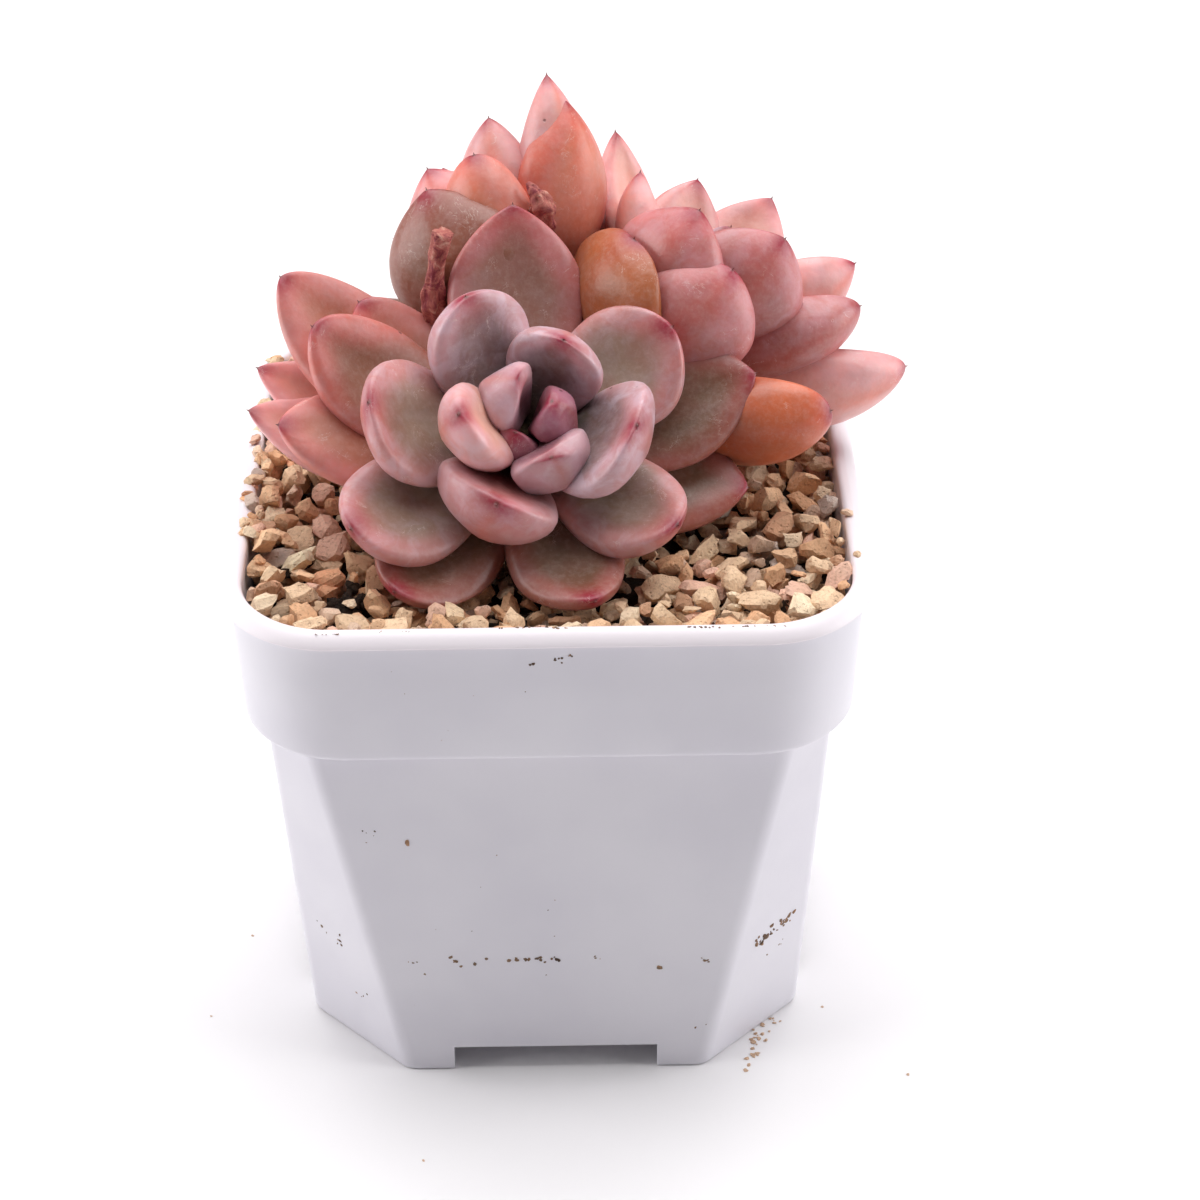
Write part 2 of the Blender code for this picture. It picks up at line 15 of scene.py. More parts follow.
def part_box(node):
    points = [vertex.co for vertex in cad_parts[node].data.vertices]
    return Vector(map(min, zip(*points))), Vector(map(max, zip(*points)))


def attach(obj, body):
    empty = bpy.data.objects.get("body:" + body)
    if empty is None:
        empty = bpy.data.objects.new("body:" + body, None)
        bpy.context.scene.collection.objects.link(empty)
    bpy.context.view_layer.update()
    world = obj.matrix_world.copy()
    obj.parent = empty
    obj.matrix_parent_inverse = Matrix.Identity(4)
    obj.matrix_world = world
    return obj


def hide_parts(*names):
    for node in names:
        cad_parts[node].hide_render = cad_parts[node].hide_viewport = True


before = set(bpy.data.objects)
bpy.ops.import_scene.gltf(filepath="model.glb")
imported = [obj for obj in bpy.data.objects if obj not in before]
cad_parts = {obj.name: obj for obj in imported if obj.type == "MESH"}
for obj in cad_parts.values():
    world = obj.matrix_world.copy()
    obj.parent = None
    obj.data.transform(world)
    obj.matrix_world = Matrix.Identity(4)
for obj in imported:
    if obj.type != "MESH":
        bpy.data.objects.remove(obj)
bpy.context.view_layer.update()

MM = 0.001
POT_LOW, POT_HIGH = (np.array(corner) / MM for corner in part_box("pot"))
GRIT_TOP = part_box("grit_layer")[1].z / MM
POT_AXIS = np.array([0.5 * (POT_LOW[0] + POT_HIGH[0]), 0.5 * (POT_LOW[1] + POT_HIGH[1]), 0.0])
PLANT = POT_AXIS + np.array([0.0, 0.0, GRIT_TOP])

# Pot --------------------------------------------------------------------------------------------
LIP_HALF = 0.5 * (POT_HIGH[0] - POT_LOW[0])
POT_HEIGHT = POT_HIGH[2]
LIP_THICKNESS = 1.5
LIP_CORNER_RADIUS = 13.5
LIP_OVERHANG = 1.1
LIP_UNDER = 0.20
LIP_SLOPE = 1.5
COLLAR_BOTTOM = POT_HEIGHT - 18.1
COLLAR_TAPER = 0.8
COLLAR_STEP = 2.6
WALL = 1.5
TUB_TAPER = 2.2
SHOULDER_CHAMFER = 5.3
BASE_CHAMFER = 12.4
CHAMFER_SOFTNESS = 3.0
FOOT_HEIGHT = 4.0
NOTCH_HALF_WIDTH = 12.6
NOTCH_HEIGHT = 3.8
FLOOR_THICKNESS = 1.5
DRAIN_RADIUS = 2.0
DRAIN_SPACING = 15.0
DRAIN_CUT = (1.0, 9.0)
INNER_HALF = LIP_HALF - LIP_OVERHANG - WALL
INNER_RADIUS = LIP_CORNER_RADIUS - LIP_OVERHANG - WALL

# Plant ------------------------------------------------------------------------------------------
# Head: centre of the growing tip, compass angle of its axis from the front towards +X, and the
# axis's angle above level.
HEADS = {
    "front": ((-2.0, -12.0, 15.0), 15, 54),
    "right": ((18.5, 12.0, 23.0), 120, 58),
    "back": ((-3.5, 20.0, 24.0), 195, 58),
}

# Leaf: degrees around the head's axis, degrees open from it, mm down the stem, length, width and
# thickness, bluntness (0.5 round, 0.9 pointed), widest place along the leaf, roll about the leaf's
# own length, and tone.
FRONT_HEART = (
    (346, 7, 0.0, 9.0, 7.0, 6.0, 0.70, 0.52, 0, "magenta"),
    (236, 30, 0.6, 7.5, 6.5, 4.5, 0.60, 0.55, 0, "magenta"),
    (150, 12, 0.5, 11.0, 8.5, 5.5, 0.55, 0.58, 10, "orchid"),
    (284, 36, 1.0, 12.0, 10.5, 5.5, 0.60, 0.60, 22, "orchid"),
)
FRONT_HEAD = (
    (202, 36, 1.5, 15.0, 10.5, 6.0, 0.50, 0.60, 0, "peach"),
    (67, 27, 2.0, 13.5, 11.5, 6.0, 0.50, 0.62, 0, "lilac"),
    (126, 47, 3.0, 17.5, 13.0, 6.5, 0.55, 0.62, 0, "lilac"),
    (338, 38, 2.5, 17.0, 15.5, 6.0, 0.50, 0.60, 0, "lilac"),
    (184, 58, 4.0, 20.0, 15.0, 6.0, 0.50, 0.62, 0, "sage"),
    (250, 44, 6.0, 16.0, 15.0, 7.0, 0.55, 0.60, -4, "rose"),
    (215, 77, 5.0, 23.0, 14.0, 6.5, 0.50, 0.62, 0, "sage"),
    (322, 69, 4.5, 20.0, 13.0, 6.5, 0.50, 0.60, 0, "sage"),
    (233, 86, 6.5, 22.5, 14.0, 6.5, 0.55, 0.60, 0, "olive"),
    (289, 77, 6.0, 21.0, 13.5, 6.5, 0.60, 0.58, 0, "olive"),
    (34, 59, 4.5, 20.0, 15.0, 6.0, 0.60, 0.60, 0, "sage"),
    (15, 69, 6.5, 26.5, 15.5, 6.5, 0.85, 0.58, 4, "olive"),
    (351, 82, 8.0, 24.5, 13.5, 6.5, 0.75, 0.58, 0, "olive"),
    (95, 65, 6.5, 26.5, 16.0, 6.5, 0.80, 0.60, 0, "clay"),
    (157, 74, 6.5, 26.0, 13.5, 6.5, 0.60, 0.60, 0, "rust"),
    (140, 79, 8.0, 23.5, 12.0, 6.0, 0.60, 0.58, 0, "salmon"),
    (147, 79, 9.0, 32.5, 13.5, 6.0, 0.65, 0.60, 0, "salmon"),
    (180, 79, 8.0, 26.5, 12.0, 6.0, 0.70, 0.58, 0, "salmon"),
    (171, 90, 10.0, 29.5, 10.0, 5.5, 0.80, 0.58, 0, "pale"),
    (161, 89, 10.5, 30.0, 10.0, 5.0, 0.80, 0.58, 0, "pale"),
)
RIGHT_HEAD = (
    (167, 34, 6.0, 16.0, 8.0, 4.0, 0.90, 0.50, 43, "pale"),
    (115, 31, 3.5, 14.5, 11.0, 5.0, 0.90, 0.50, 0, "pale"),
    (62, 28, 5.0, 18.0, 12.0, 5.0, 0.90, 0.52, 0, "pale"),
    (248, 28, 9.0, 19.0, 16.0, 6.0, 0.80, 0.52, -12, "pink"),
    (150, 45, 6.0, 22.0, 8.0, 4.5, 0.90, 0.55, -28, "pale"),
    (302, 28, 8.0, 19.5, 16.5, 6.0, 0.75, 0.55, -25, "pink"),
    (358, 37, 9.0, 23.0, 11.5, 5.0, 0.80, 0.55, -60, "pale"),
    (278, 34, 13.5, 20.0, 15.0, 6.5, 0.65, 0.60, -16, "pink"),
    (342, 43, 13.0, 25.0, 9.5, 6.5, 0.60, 0.58, -60, "pink"),
    (226, 34, 16.5, 21.0, 16.5, 5.5, 0.42, 0.66, -8, "ochre"),
    (353, 58, 15.0, 29.8, 12.0, 6.0, 0.65, 0.55, -55, "pale"),
    (318, 63, 18.0, 26.0, 11.5, 6.5, 0.50, 0.60, -50, "orange"),
    (20, 60, 11.0, 22.0, 12.5, 5.5, 0.70, 0.56, 0, "rust"),
    (85, 52, 8.0, 21.0, 13.0, 5.5, 0.75, 0.56, 0, "rose"),
    (125, 62, 11.0, 22.0, 12.5, 5.5, 0.70, 0.56, 0, "salmon"),
    (55, 74, 13.0, 23.0, 13.0, 6.0, 0.70, 0.56, 0, "olive"),
)
BACK_HEAD = (
    (302, 23, 5.5, 25.0, 9.5, 6.0, 0.90, 0.50, 0, "pale"),
    (264, 22, 5.0, 20.0, 10.0, 5.5, 0.80, 0.50, 0, "pale"),
    (256, 37, 7.5, 20.0, 11.0, 6.0, 0.55, 0.58, 0, "cream"),
    (306, 26, 8.0, 25.0, 13.0, 6.5, 0.85, 0.48, 0, "amber"),
    (226, 30, 9.5, 21.0, 14.0, 5.5, 0.85, 0.55, 30, "pale"),
    (235, 34, 15.0, 25.0, 18.0, 6.5, 0.75, 0.60, 18, "moss"),
    (80, 50, 4.0, 18.0, 12.5, 5.5, 0.70, 0.58, 0, "rose"),
    (165, 60, 5.5, 15.0, 11.0, 5.5, 0.70, 0.58, 0, "rose"),
    (50, 68, 6.5, 21.0, 13.5, 6.0, 0.70, 0.58, 0, "sage"),
    (112, 70, 7.0, 21.0, 14.0, 6.0, 0.70, 0.58, 0, "olive"),
    (160, 78, 8.5, 22.0, 14.0, 6.0, 0.70, 0.58, 0, "olive"),
    (15, 80, 9.0, 22.0, 13.5, 6.0, 0.70, 0.58, 0, "rust"),
    (80, 86, 10.0, 22.0, 13.5, 6.0, 0.70, 0.58, 0, "olive"),
)

# Small young leaves that fill the hearts of the two heads that face away.
RIGHT_HEART = (
    (60, 14, 1.5, 8.0, 6.0, 4.0, 0.65, 0.55, 0, "orchid"),
    (100, 60, 8.0, 18.0, 12.0, 5.5, 0.65, 0.58, 0, "lilac"),
    (180, 12, 2.0, 7.0, 5.5, 4.0, 0.65, 0.55, 0, "magenta"),
)
BACK_HEART = (
    (90, 8, 0.0, 10.0, 7.0, 5.0, 0.65, 0.55, 0, "magenta"),
    (20, 35, 2.0, 15.0, 11.0, 5.5, 0.60, 0.60, 0, "orchid"),
    (140, 38, 2.5, 16.0, 11.0, 5.5, 0.60, 0.60, 0, "lilac"),
    (5, 48, 4.0, 15.0, 11.0, 5.5, 0.60, 0.60, 0, "sage"),
)


def numbered(group, digits, rows):
    """Rows with the leaf's own name and its head in front, counted from 1."""
    head = group.split("_")[0]
    return [(f"{group}_{count:0{digits}}", head, *row) for count, row in enumerate(rows, 1)]


LEAVES = [
    *numbered("front_heart_leaf", 1, FRONT_HEART),
    *numbered("front_leaf", 2, FRONT_HEAD),
    *numbered("right_leaf", 2, RIGHT_HEAD),
    *numbered("back_leaf", 2, BACK_HEAD),
]
YOUNG_LEAVES = [
    *numbered("right_heart_leaf", 1, RIGHT_HEART),
    *numbered("back_heart_leaf", 1, BACK_HEART),
]

# How far some leaves bend back, as a share of their length. The rest take a share within BOW.
BOWS = {"back_leaf_06": 0.13, "front_leaf_15": 0.09, "front_leaf_01": 0.02, "front_leaf_06": 0.03}
BOW = (0.05, 0.07)

# How far the tips of some leaves turn up, as a share of their thickness. The rest take one of the
# two shares below, by whether they are blunt or sharp.
HOOKS = {"front_leaf_01": 0.05, "front_leaf_06": 0.15, "front_leaf_09": 0.35, "front_leaf_10": 0.35}
BLUNT_HOOK = 0.20
SHARP_HOOK = 0.08

LEAF_SLOTS = {"front": "leaf_olive", "right": "leaf_pink", "back": "leaf_pink"}
LEAF_RINGS = 44
LEAF_SIDES = 36
SEAT_NEAR = 0.8
SEAT_FAR = 3.0
SEAT_STATION = 4.0
BASE_SHARE = 0.32
THICKEST = 0.45
UPPER_DEPTH = 0.78
LOWER_DEPTH = 1.22
SPINE_LENGTH = 0.7
SPINE_RADIUS = 0.32
TIP_SPOT = 1.15
BLOOM_STRENGTH = 0.55


def paint(red, green, blue):
    """A colour mixed on a 0 to 255 screen scale, as linear light."""
    shares = np.array([red, green, blue]) / 255.0
    return np.where(shares <= 0.04045, shares / 12.92, ((shares + 0.055) / 1.055) ** 2.4)


# Tone: colour at the base, darkened partly as painted shade, in the middle and at the edge, and how
# much pale bloom lies on it.
TONES = {
    "magenta": (paint(78, 26, 44), paint(110, 40, 60), paint(172, 104, 124), 0.14),
    "orchid": (paint(96, 62, 66), paint(142, 88, 102), paint(206, 160, 168), 0.50),
    "lilac": (paint(84, 84, 50), paint(122, 100, 98), paint(204, 150, 154), 0.80),
    "peach": (paint(150, 108, 88), paint(222, 164, 142), paint(226, 160, 156), 0.50),
    "rose": (paint(124, 88, 72), paint(178, 112, 108), paint(206, 142, 142), 0.45),
    "sage": (paint(108, 98, 66), paint(152, 128, 108), paint(206, 134, 128), 0.50),
    "olive": (paint(84, 72, 44), paint(116, 90, 66), paint(166, 98, 84), 0.16),
    "rust": (paint(110, 82, 46), paint(146, 98, 74), paint(210, 116, 104), 0.18),
    "salmon": (paint(140, 98, 64), paint(190, 120, 96), paint(224, 138, 128), 0.20),
    "pink": (paint(112, 76, 64), paint(148, 92, 84), paint(204, 116, 114), 0.30),
    # Partly the leaves' own pale pink, partly painted light: made paler for the back light on them.
    "pale": (paint(180, 132, 110), paint(228, 164, 148), paint(244, 168, 164), 0.34),
    "orange": (paint(120, 88, 54), paint(178, 112, 72), paint(222, 116, 76), 0.05),
    "amber": (paint(140, 72, 60), paint(232, 150, 116), paint(224, 112, 90), 0.14),
    "ochre": (paint(100, 74, 46), paint(150, 100, 58), paint(186, 106, 62), 0.03),
    "clay": (paint(120, 96, 70), paint(154, 112, 98), paint(208, 120, 116), 0.22),
    "moss": (paint(76, 66, 36), paint(98, 80, 48), paint(150, 92, 74), 0.08),
    "cream": (paint(190, 108, 80), paint(238, 176, 134), paint(230, 136, 118), 0.10),
}
CRIMSON = paint(152, 14, 56)
SPINE_BROWN = paint(84, 42, 40)
BLOOM = paint(222, 212, 228)


# Meshes -----------------------------------------------------------------------------------------


def build(name, points, faces, material=None, smooth=True, sharp=None, colours=None, bloom=None):
    """One object from points in mm and lists of corners, with its finish."""
    mesh = bpy.data.meshes.new(name)
    mesh.from_pydata((np.asarray(points) * MM).tolist(), [], faces)
    if smooth:
        mesh.shade_smooth()
    if sharp is not None:
        mesh.set_sharp_from_angle(angle=math.radians(sharp))
    if colours is not None:
        layer = mesh.attributes.new("tint", "FLOAT_COLOR", "POINT")
        alpha = np.ones((len(colours), 1))
        layer.data.foreach_set("color", np.hstack([colours, alpha]).astype(np.float32).ravel())
    if bloom is not None:
        layer = mesh.attributes.new("bloom", "FLOAT", "POINT")
        layer.data.foreach_set("value", bloom.astype(np.float32).ravel())
    if material is not None:
        mesh.materials.append(material)
    built = bpy.data.objects.new(name, mesh)
    bpy.context.scene.collection.objects.link(built)
    return built


def make(name, points, faces, material, slot, replaced=(), **looks):
    """A piece that rides on the part and takes the place of the nodes it replaces."""
    made = build(name, points, faces, material, **looks)
    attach(made, "root")
    if replaced:
        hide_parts(*replaced)
    return made


def strip_faces(rings, sides):
    """Quads between neighbouring rings that close round on themselves."""
    ring = np.arange(rings - 1)[:, None] * sides
    here = np.arange(sides)[None, :]
    after = (here + 1) % sides
    corners = (ring + here, ring + after, ring + sides + after, ring + sides + here)
    return np.stack(corners, axis=-1).reshape(-1, 4)


def closed_skin(grid):
    """Points and faces of a grid of rings whose two ends close in one point each."""
    rings, sides, _ = grid.shape
    start = grid[0].mean(axis=0)
    end = grid[-1].mean(axis=0)
    points = np.vstack([grid.reshape(-1, 3), start, end])
    here = np.arange(sides)
    after = (here + 1) % sides
    low = np.stack([np.full(sides, rings * sides), after, here], axis=1)
    last = (rings - 1) * sides
    high = np.stack([np.full(sides, rings * sides + 1), last + here, last + after], axis=1)
    faces = strip_faces(rings, sides).tolist() + low.tolist() + high.tolist()
    return points, faces


def joined(parts):
    """Several skins as one: their points in one list, with each face's corners counted on."""
    firsts = np.cumsum([0] + [len(points) for points, _ in parts]).tolist()
    faces = [[corner + first for corner in face] for (_, some), first in zip(parts, firsts) for face in some]
    return np.vstack([points for points, _ in parts]), faces


def smooth_step(low, high, value):
    """0 up to the low value, 1 from the high one, and 3 s^2 - 2 s^3 of the share s in between."""
    share = np.clip((value - low) / (high - low), 0.0, 1.0)
    return share * share * (3.0 - 2.0 * share)


def unit(vector):
    """A vector's direction."""
    return vector / np.linalg.norm(vector)


def mixed(first, second, share):
    """Two colours or colour grids mixed by a grid of shares."""
    share = np.asarray(share)[..., None]
    return first * (1.0 - share) + second * share


# Materials --------------------------------------------------------------------------------------


class Finish:
    """A procedural material, built up node by node from the object's own coordinates.

    Scales of noise and cells are per metre. remap turns one range of values into another by a
    smooth step, and set joins values, colours and sockets to the surface's own inputs.
    """

    def __init__(self, name):
        self.material = bpy.data.materials.new(name)
        self.material.use_nodes = True
        self.tree = self.material.node_tree
        self.shader = self.tree.nodes["Principled BSDF"]
        self.place = self.add("ShaderNodeTexCoord").outputs["Object"]

    def add(self, kind, **settings):
        node = self.tree.nodes.new(kind)
        for key, value in settings.items():
            setattr(node, key, value)
        return node

    def feed(self, socket, source):
        if isinstance(source, bpy.types.NodeSocket):
            self.tree.links.new(source, socket)
        elif hasattr(source, "__len__") and socket.type == "RGBA":
            socket.default_value = (*source[:3], 1.0)
        else:
            socket.default_value = source

    def noise(self, per_metre, detail=3.0, rough=0.55, twist=0.0):
        node = self.add("ShaderNodeTexNoise")
        self.feed(node.inputs["Vector"], self.place)
        node.inputs["Scale"].default_value = per_metre
        node.inputs["Detail"].default_value = detail
        node.inputs["Roughness"].default_value = rough
        node.inputs["Distortion"].default_value = twist
        return node.outputs["Fac"]

    def cells(self, per_metre):
        node = self.add("ShaderNodeTexVoronoi")
        self.feed(node.inputs["Vector"], self.place)
        node.inputs["Scale"].default_value = per_metre
        return node.outputs["Distance"]

    def remap(self, value, low, high, to_low=0.0, to_high=1.0):
        node = self.add("ShaderNodeMapRange", interpolation_type="SMOOTHSTEP")
        self.feed(node.inputs["Value"], value)
        node.inputs["From Min"].default_value = low
        node.inputs["From Max"].default_value = high
        node.inputs["To Min"].default_value = to_low
        node.inputs["To Max"].default_value = to_high
        return node.outputs["Result"]

    def maths(self, operation, first, second=0.0):
        node = self.add("ShaderNodeMath", operation=operation)
        self.feed(node.inputs[0], first)
        self.feed(node.inputs[1], second)
        return node.outputs["Value"]

    def height(self):
        """Metres above the ground, for a piece whose own origin is there."""
        node = self.add("ShaderNodeSeparateXYZ")
        self.feed(node.inputs[0], self.place)
        return node.outputs["Z"]

    def mix(self, share, first, second):
        node = self.add("ShaderNodeMix", data_type="RGBA")
        self.feed(node.inputs[0], share)
        self.feed(node.inputs[6], first)
        self.feed(node.inputs[7], second)
        return node.outputs[2]

    def attribute(self, name, output="Fac"):
        return self.add("ShaderNodeAttribute", attribute_name=name).outputs[output]

    def bump(self, height, distance, strength):
        node = self.add("ShaderNodeBump")
        self.feed(node.inputs["Height"], height)
        node.inputs["Distance"].default_value = distance * MM
        node.inputs["Strength"].default_value = strength
        return node.outputs["Normal"]

    def set(self, **sockets):
        for key, source in sockets.items():
            self.feed(self.shader.inputs[key.replace("_", " ")], source)

    def soft(self, weight, radii, scale):
        """Light that enters the surface and comes out beside it, scale in mm."""
        self.shader.inputs["Subsurface Weight"].default_value = weight
        self.shader.inputs["Subsurface Radius"].default_value = radii
        self.shader.inputs["Subsurface Scale"].default_value = scale * MM


def leaf_finish():
    """Waxy leaf skin: mottled tint, wiped bloom, tiny brown spots, fine pale scratches."""
    skin = Finish("leaf skin")
    tint = skin.attribute("tint", "Color")
    broad = skin.noise(230.0, 4.0)
    fine = skin.noise(1400.0, 4.0, 0.7)
    colour = skin.mix(skin.remap(broad, 0.35, 0.7, 0.0, 0.28), tint, (0.30, 0.10, 0.07))
    colour = skin.mix(skin.remap(fine, 0.40, 0.7, 0.0, 0.10), colour, (0.75, 0.62, 0.55))
    wiped = skin.remap(skin.noise(330.0, 5.0, 0.6, 0.8), 0.38, 0.62, 0.25, 1.0)
    bloom = skin.maths("MULTIPLY", skin.attribute("bloom"), wiped)
    colour = skin.mix(bloom, colour, BLOOM)
    spot = skin.remap(skin.cells(260.0), 0.035, 0.075, 1.0, 0.0)
    rare = skin.remap(skin.noise(170.0, 1.0), 0.55, 0.62)
    spots = skin.maths("MULTIPLY", spot, rare)
    colour = skin.mix(skin.maths("MULTIPLY", spots, 0.75), colour, (0.11, 0.035, 0.03))
    wander = skin.maths("ABSOLUTE", skin.maths("SUBTRACT", skin.noise(360.0, 6.0, 0.6, 1.2), 0.5))
    streak = skin.remap(wander, 0.002, 0.007, 1.0, 0.0)
    where = skin.remap(skin.noise(150.0, 2.0, 0.5, 1.5), 0.57, 0.63)
    scratch = skin.maths("MULTIPLY", streak, where)
    colour = skin.mix(skin.maths("MULTIPLY", scratch, 0.45), colour, (0.84, 0.72, 0.66))
    height = skin.maths("ADD", broad, skin.maths("MULTIPLY", fine, 0.10))
    height = skin.maths("SUBTRACT", height, skin.maths("MULTIPLY", spots, 0.25))
    skin.set(
        Base_Color=colour,
        Roughness=skin.remap(fine, 0.3, 0.7, 0.30, 0.42),
        Normal=skin.bump(height, 0.35, 0.6),
        Specular_IOR_Level=0.60,
    )
    skin.soft(0.10, (1.0, 0.42, 0.30), 1.0)
    return skin.material


def pot_finish():
    """Moulded white plastic: faint lilac, with painted light making the lip paler, finely grained, a little
    dusty.
    """
    plastic = Finish("white plastic")
    broad = plastic.noise(40.0, 3.0)
    fine = plastic.noise(1700.0, 2.0)
    colour = plastic.mix(plastic.remap(broad, 0.3, 0.7), (0.69, 0.67, 0.73), (0.75, 0.73, 0.78))
    lip_bottom = POT_HEIGHT - LIP_THICKNESS
    # Painted light: the lip and a narrow band under it are painted paler, as if lit from above.
    painted_lip_light = plastic.remap(plastic.height(), (lip_bottom - 1.1) * MM, (lip_bottom + 0.1) * MM)
    colour = plastic.mix(painted_lip_light, colour, (0.84, 0.78, 0.82))
    dust = plastic.remap(plastic.noise(900.0, 5.0, 0.75), 0.70, 0.80, 0.0, 0.25)
    colour = plastic.mix(dust, colour, (0.42, 0.33, 0.28))
    plastic.set(
        Base_Color=colour,
        Roughness=plastic.remap(broad, 0.3, 0.7, 0.30, 0.42),
        Normal=plastic.bump(fine, 0.02, 0.35),
        Specular_IOR_Level=0.5,
    )
    plastic.soft(0.15, (1.0, 0.95, 1.0), 0.8)
    return plastic.material


def grit_finish():
    """Baked clay: each granule its own tan, dusty and pitted."""
    clay = Finish("baked clay")
    tint = clay.attribute("tint", "Color")
    broad = clay.noise(420.0, 4.0, 0.6)
    fine = clay.noise(2600.0, 5.0, 0.7)
    colour = clay.mix(clay.remap(broad, 0.3, 0.7, 0.0, 0.35), tint, (0.70, 0.46, 0.30))
    colour = clay.mix(clay.remap(fine, 0.45, 0.75, 0.0, 0.50), colour, (0.30, 0.16, 0.09))
    pit = clay.remap(clay.cells(1500.0), 0.10, 0.30, 0.0, 1.0)
    height = clay.maths("ADD", clay.maths("MULTIPLY", fine, 0.5), clay.maths("MULTIPLY", pit, 0.35))
    height = clay.maths("ADD", height, broad)
    clay.set(
        Base_Color=colour,
        Roughness=clay.remap(fine, 0.3, 0.7, 0.80, 0.97),
        Normal=clay.bump(height, 0.45, 0.9),
        Specular_IOR_Level=0.25,
    )
    return clay.material


def soil_finish():
    """Potting soil: near black with brown crumbs, rough and matt."""
    soil = Finish("dark soil")
    fine = soil.noise(1600.0, 6.0, 0.8)
    broad = soil.noise(300.0, 3.0)
    colour = soil.mix(soil.remap(fine, 0.35, 0.7), (0.018, 0.013, 0.011), (0.075, 0.048, 0.034))
    colour = soil.mix(soil.remap(broad, 0.45, 0.75, 0.0, 0.3), colour, (0.12, 0.07, 0.045))
    soil.set(
        Base_Color=colour,
        Roughness=soil.remap(broad, 0.3, 0.7, 0.85, 1.0),
        Normal=soil.bump(fine, 0.8, 0.9),
        Specular_IOR_Level=0.2,
    )
    return soil.material


def dry_finish(name, dark, middle, light):
    """Dried plant tissue: streaks of three browns over a crinkled surface."""
    dry = Finish(name)
    broad = dry.noise(420.0, 5.0, 0.65, 1.2)
    fine = dry.noise(3200.0, 4.0, 0.7)
    colour = dry.mix(dry.remap(broad, 0.35, 0.55), dark, middle)
    colour = dry.mix(dry.remap(broad, 0.52, 0.72), colour, light)
    height = dry.maths("ADD", broad, dry.maths("MULTIPLY", fine, 0.3))
    dry.set(
        Base_Color=colour,
        Roughness=dry.remap(fine, 0.3, 0.7, 0.55, 0.80),
        Normal=dry.bump(height, 0.5, 0.9),
        Specular_IOR_Level=0.35,
    )
    return dry.material


LEAF_SKIN = leaf_finish()
PLASTIC = pot_finish()
CLAY = grit_finish()
SOIL = soil_finish()
BARK = dry_finish("stem bark", (0.09, 0.055, 0.03), (0.22, 0.15, 0.08), (0.36, 0.27, 0.16))
STALK = dry_finish("dried stalk", (0.22, 0.03, 0.045), (0.48, 0.15, 0.12), (0.74, 0.44, 0.34))
HUSK = dry_finish("dried leaf", (0.12, 0.04, 0.03), (0.33, 0.14, 0.09), (0.66, 0.48, 0.33))


# Leaves -----------------------------------------------------------------------------------------


def head_axis(head):
    """The direction in which a head grows."""
    _, compass, rise = HEADS[head]
    turn, lift = math.radians(compass), math.radians(rise)
    level = math.cos(lift)
    return np.array([math.sin(turn) * level, -math.cos(turn) * level, math.sin(lift)])


def leaf_frame(head, around, opening, station, roll):
    """Where a leaf grows from, and its directions: along, to its upper face, and sideways."""
    axis = head_axis(head)
    right = np.array([1.0, 0.0, 0.0])
    across = unit(right - axis * axis[0])
    turn, lean, tilt = math.radians(around), math.radians(opening), math.radians(roll)
    outward = math.cos(turn) * across + math.sin(turn) * np.cross(axis, across)
    along = math.cos(lean) * axis + math.sin(lean) * outward
    upper = math.sin(lean) * axis - math.cos(lean) * outward
    side = np.cross(along, upper)
    upper, side = (
        math.cos(tilt) * upper + math.sin(tilt) * side,
        math.cos(tilt) * side - math.sin(tilt) * upper,
    )
    seat = SEAT_NEAR + (SEAT_FAR - SEAT_NEAR) * min(station / SEAT_STATION, 1.0)
    base = PLANT + np.array(HEADS[head][0]) - station * axis + seat * outward
    return base, along, upper, side


def leaf_outline(length, width, thick, blunt, widest):
    """Stations along a leaf from base to tip, with its half width and half depth at each.

    The half width grows as a sine from the base to the widest place and closes to the tip as
    (1 - t squared) to the power of the bluntness. The half depth grows and closes in the same way
    about its own thickest place. A small spine ends the leaf, joined on by a cube sum.
    """
    spine = SPINE_LENGTH / length
    shoulder = 1.0 - 0.45 * spine
    body = (1.0 - (1.0 - np.linspace(0.0, 1.0, LEAF_RINGS)) ** 1.7) * shoulder
    u = np.concatenate([body[1:-1], np.linspace(body[-1], 1.0, 5)])
    s = np.clip(u / shoulder, 0.0, 1.0)
    rise = np.sin(0.5 * np.pi * np.minimum(s / widest, 1.0))
    closing = np.clip((s - widest) / (1.0 - widest), 0.0, 1.0)
    half_width = 0.5 * width * (BASE_SHARE + (1.0 - BASE_SHARE) * rise) * (1.0 - closing**2) ** blunt
    late = np.clip((s - THICKEST) / (1.0 - THICKEST), 0.0, 1.0)
    half_depth = 0.5 * thick * (0.7 + 0.3 * np.sin(0.5 * np.pi * np.minimum(s / THICKEST, 1.0)))
    nose, fall = (3.4, 0.52) if blunt < 0.7 else (2.4, 0.62)
    half_depth = np.minimum(half_depth * (1.0 - late**nose) ** fall, 0.95 * half_width)
    prick = SPINE_RADIUS * np.clip((1.0 - u) / (2.0 * spine), 0.0, 1.0) ** 0.8
    half_width = (half_width**3 + prick**3) ** (1.0 / 3.0)
    half_depth = (half_depth**3 + prick**3) ** (1.0 / 3.0)
    full = np.clip(s * 3.0, 0.0, 1.0) * (1.0 - late**3)
    return u, full, half_width, half_depth


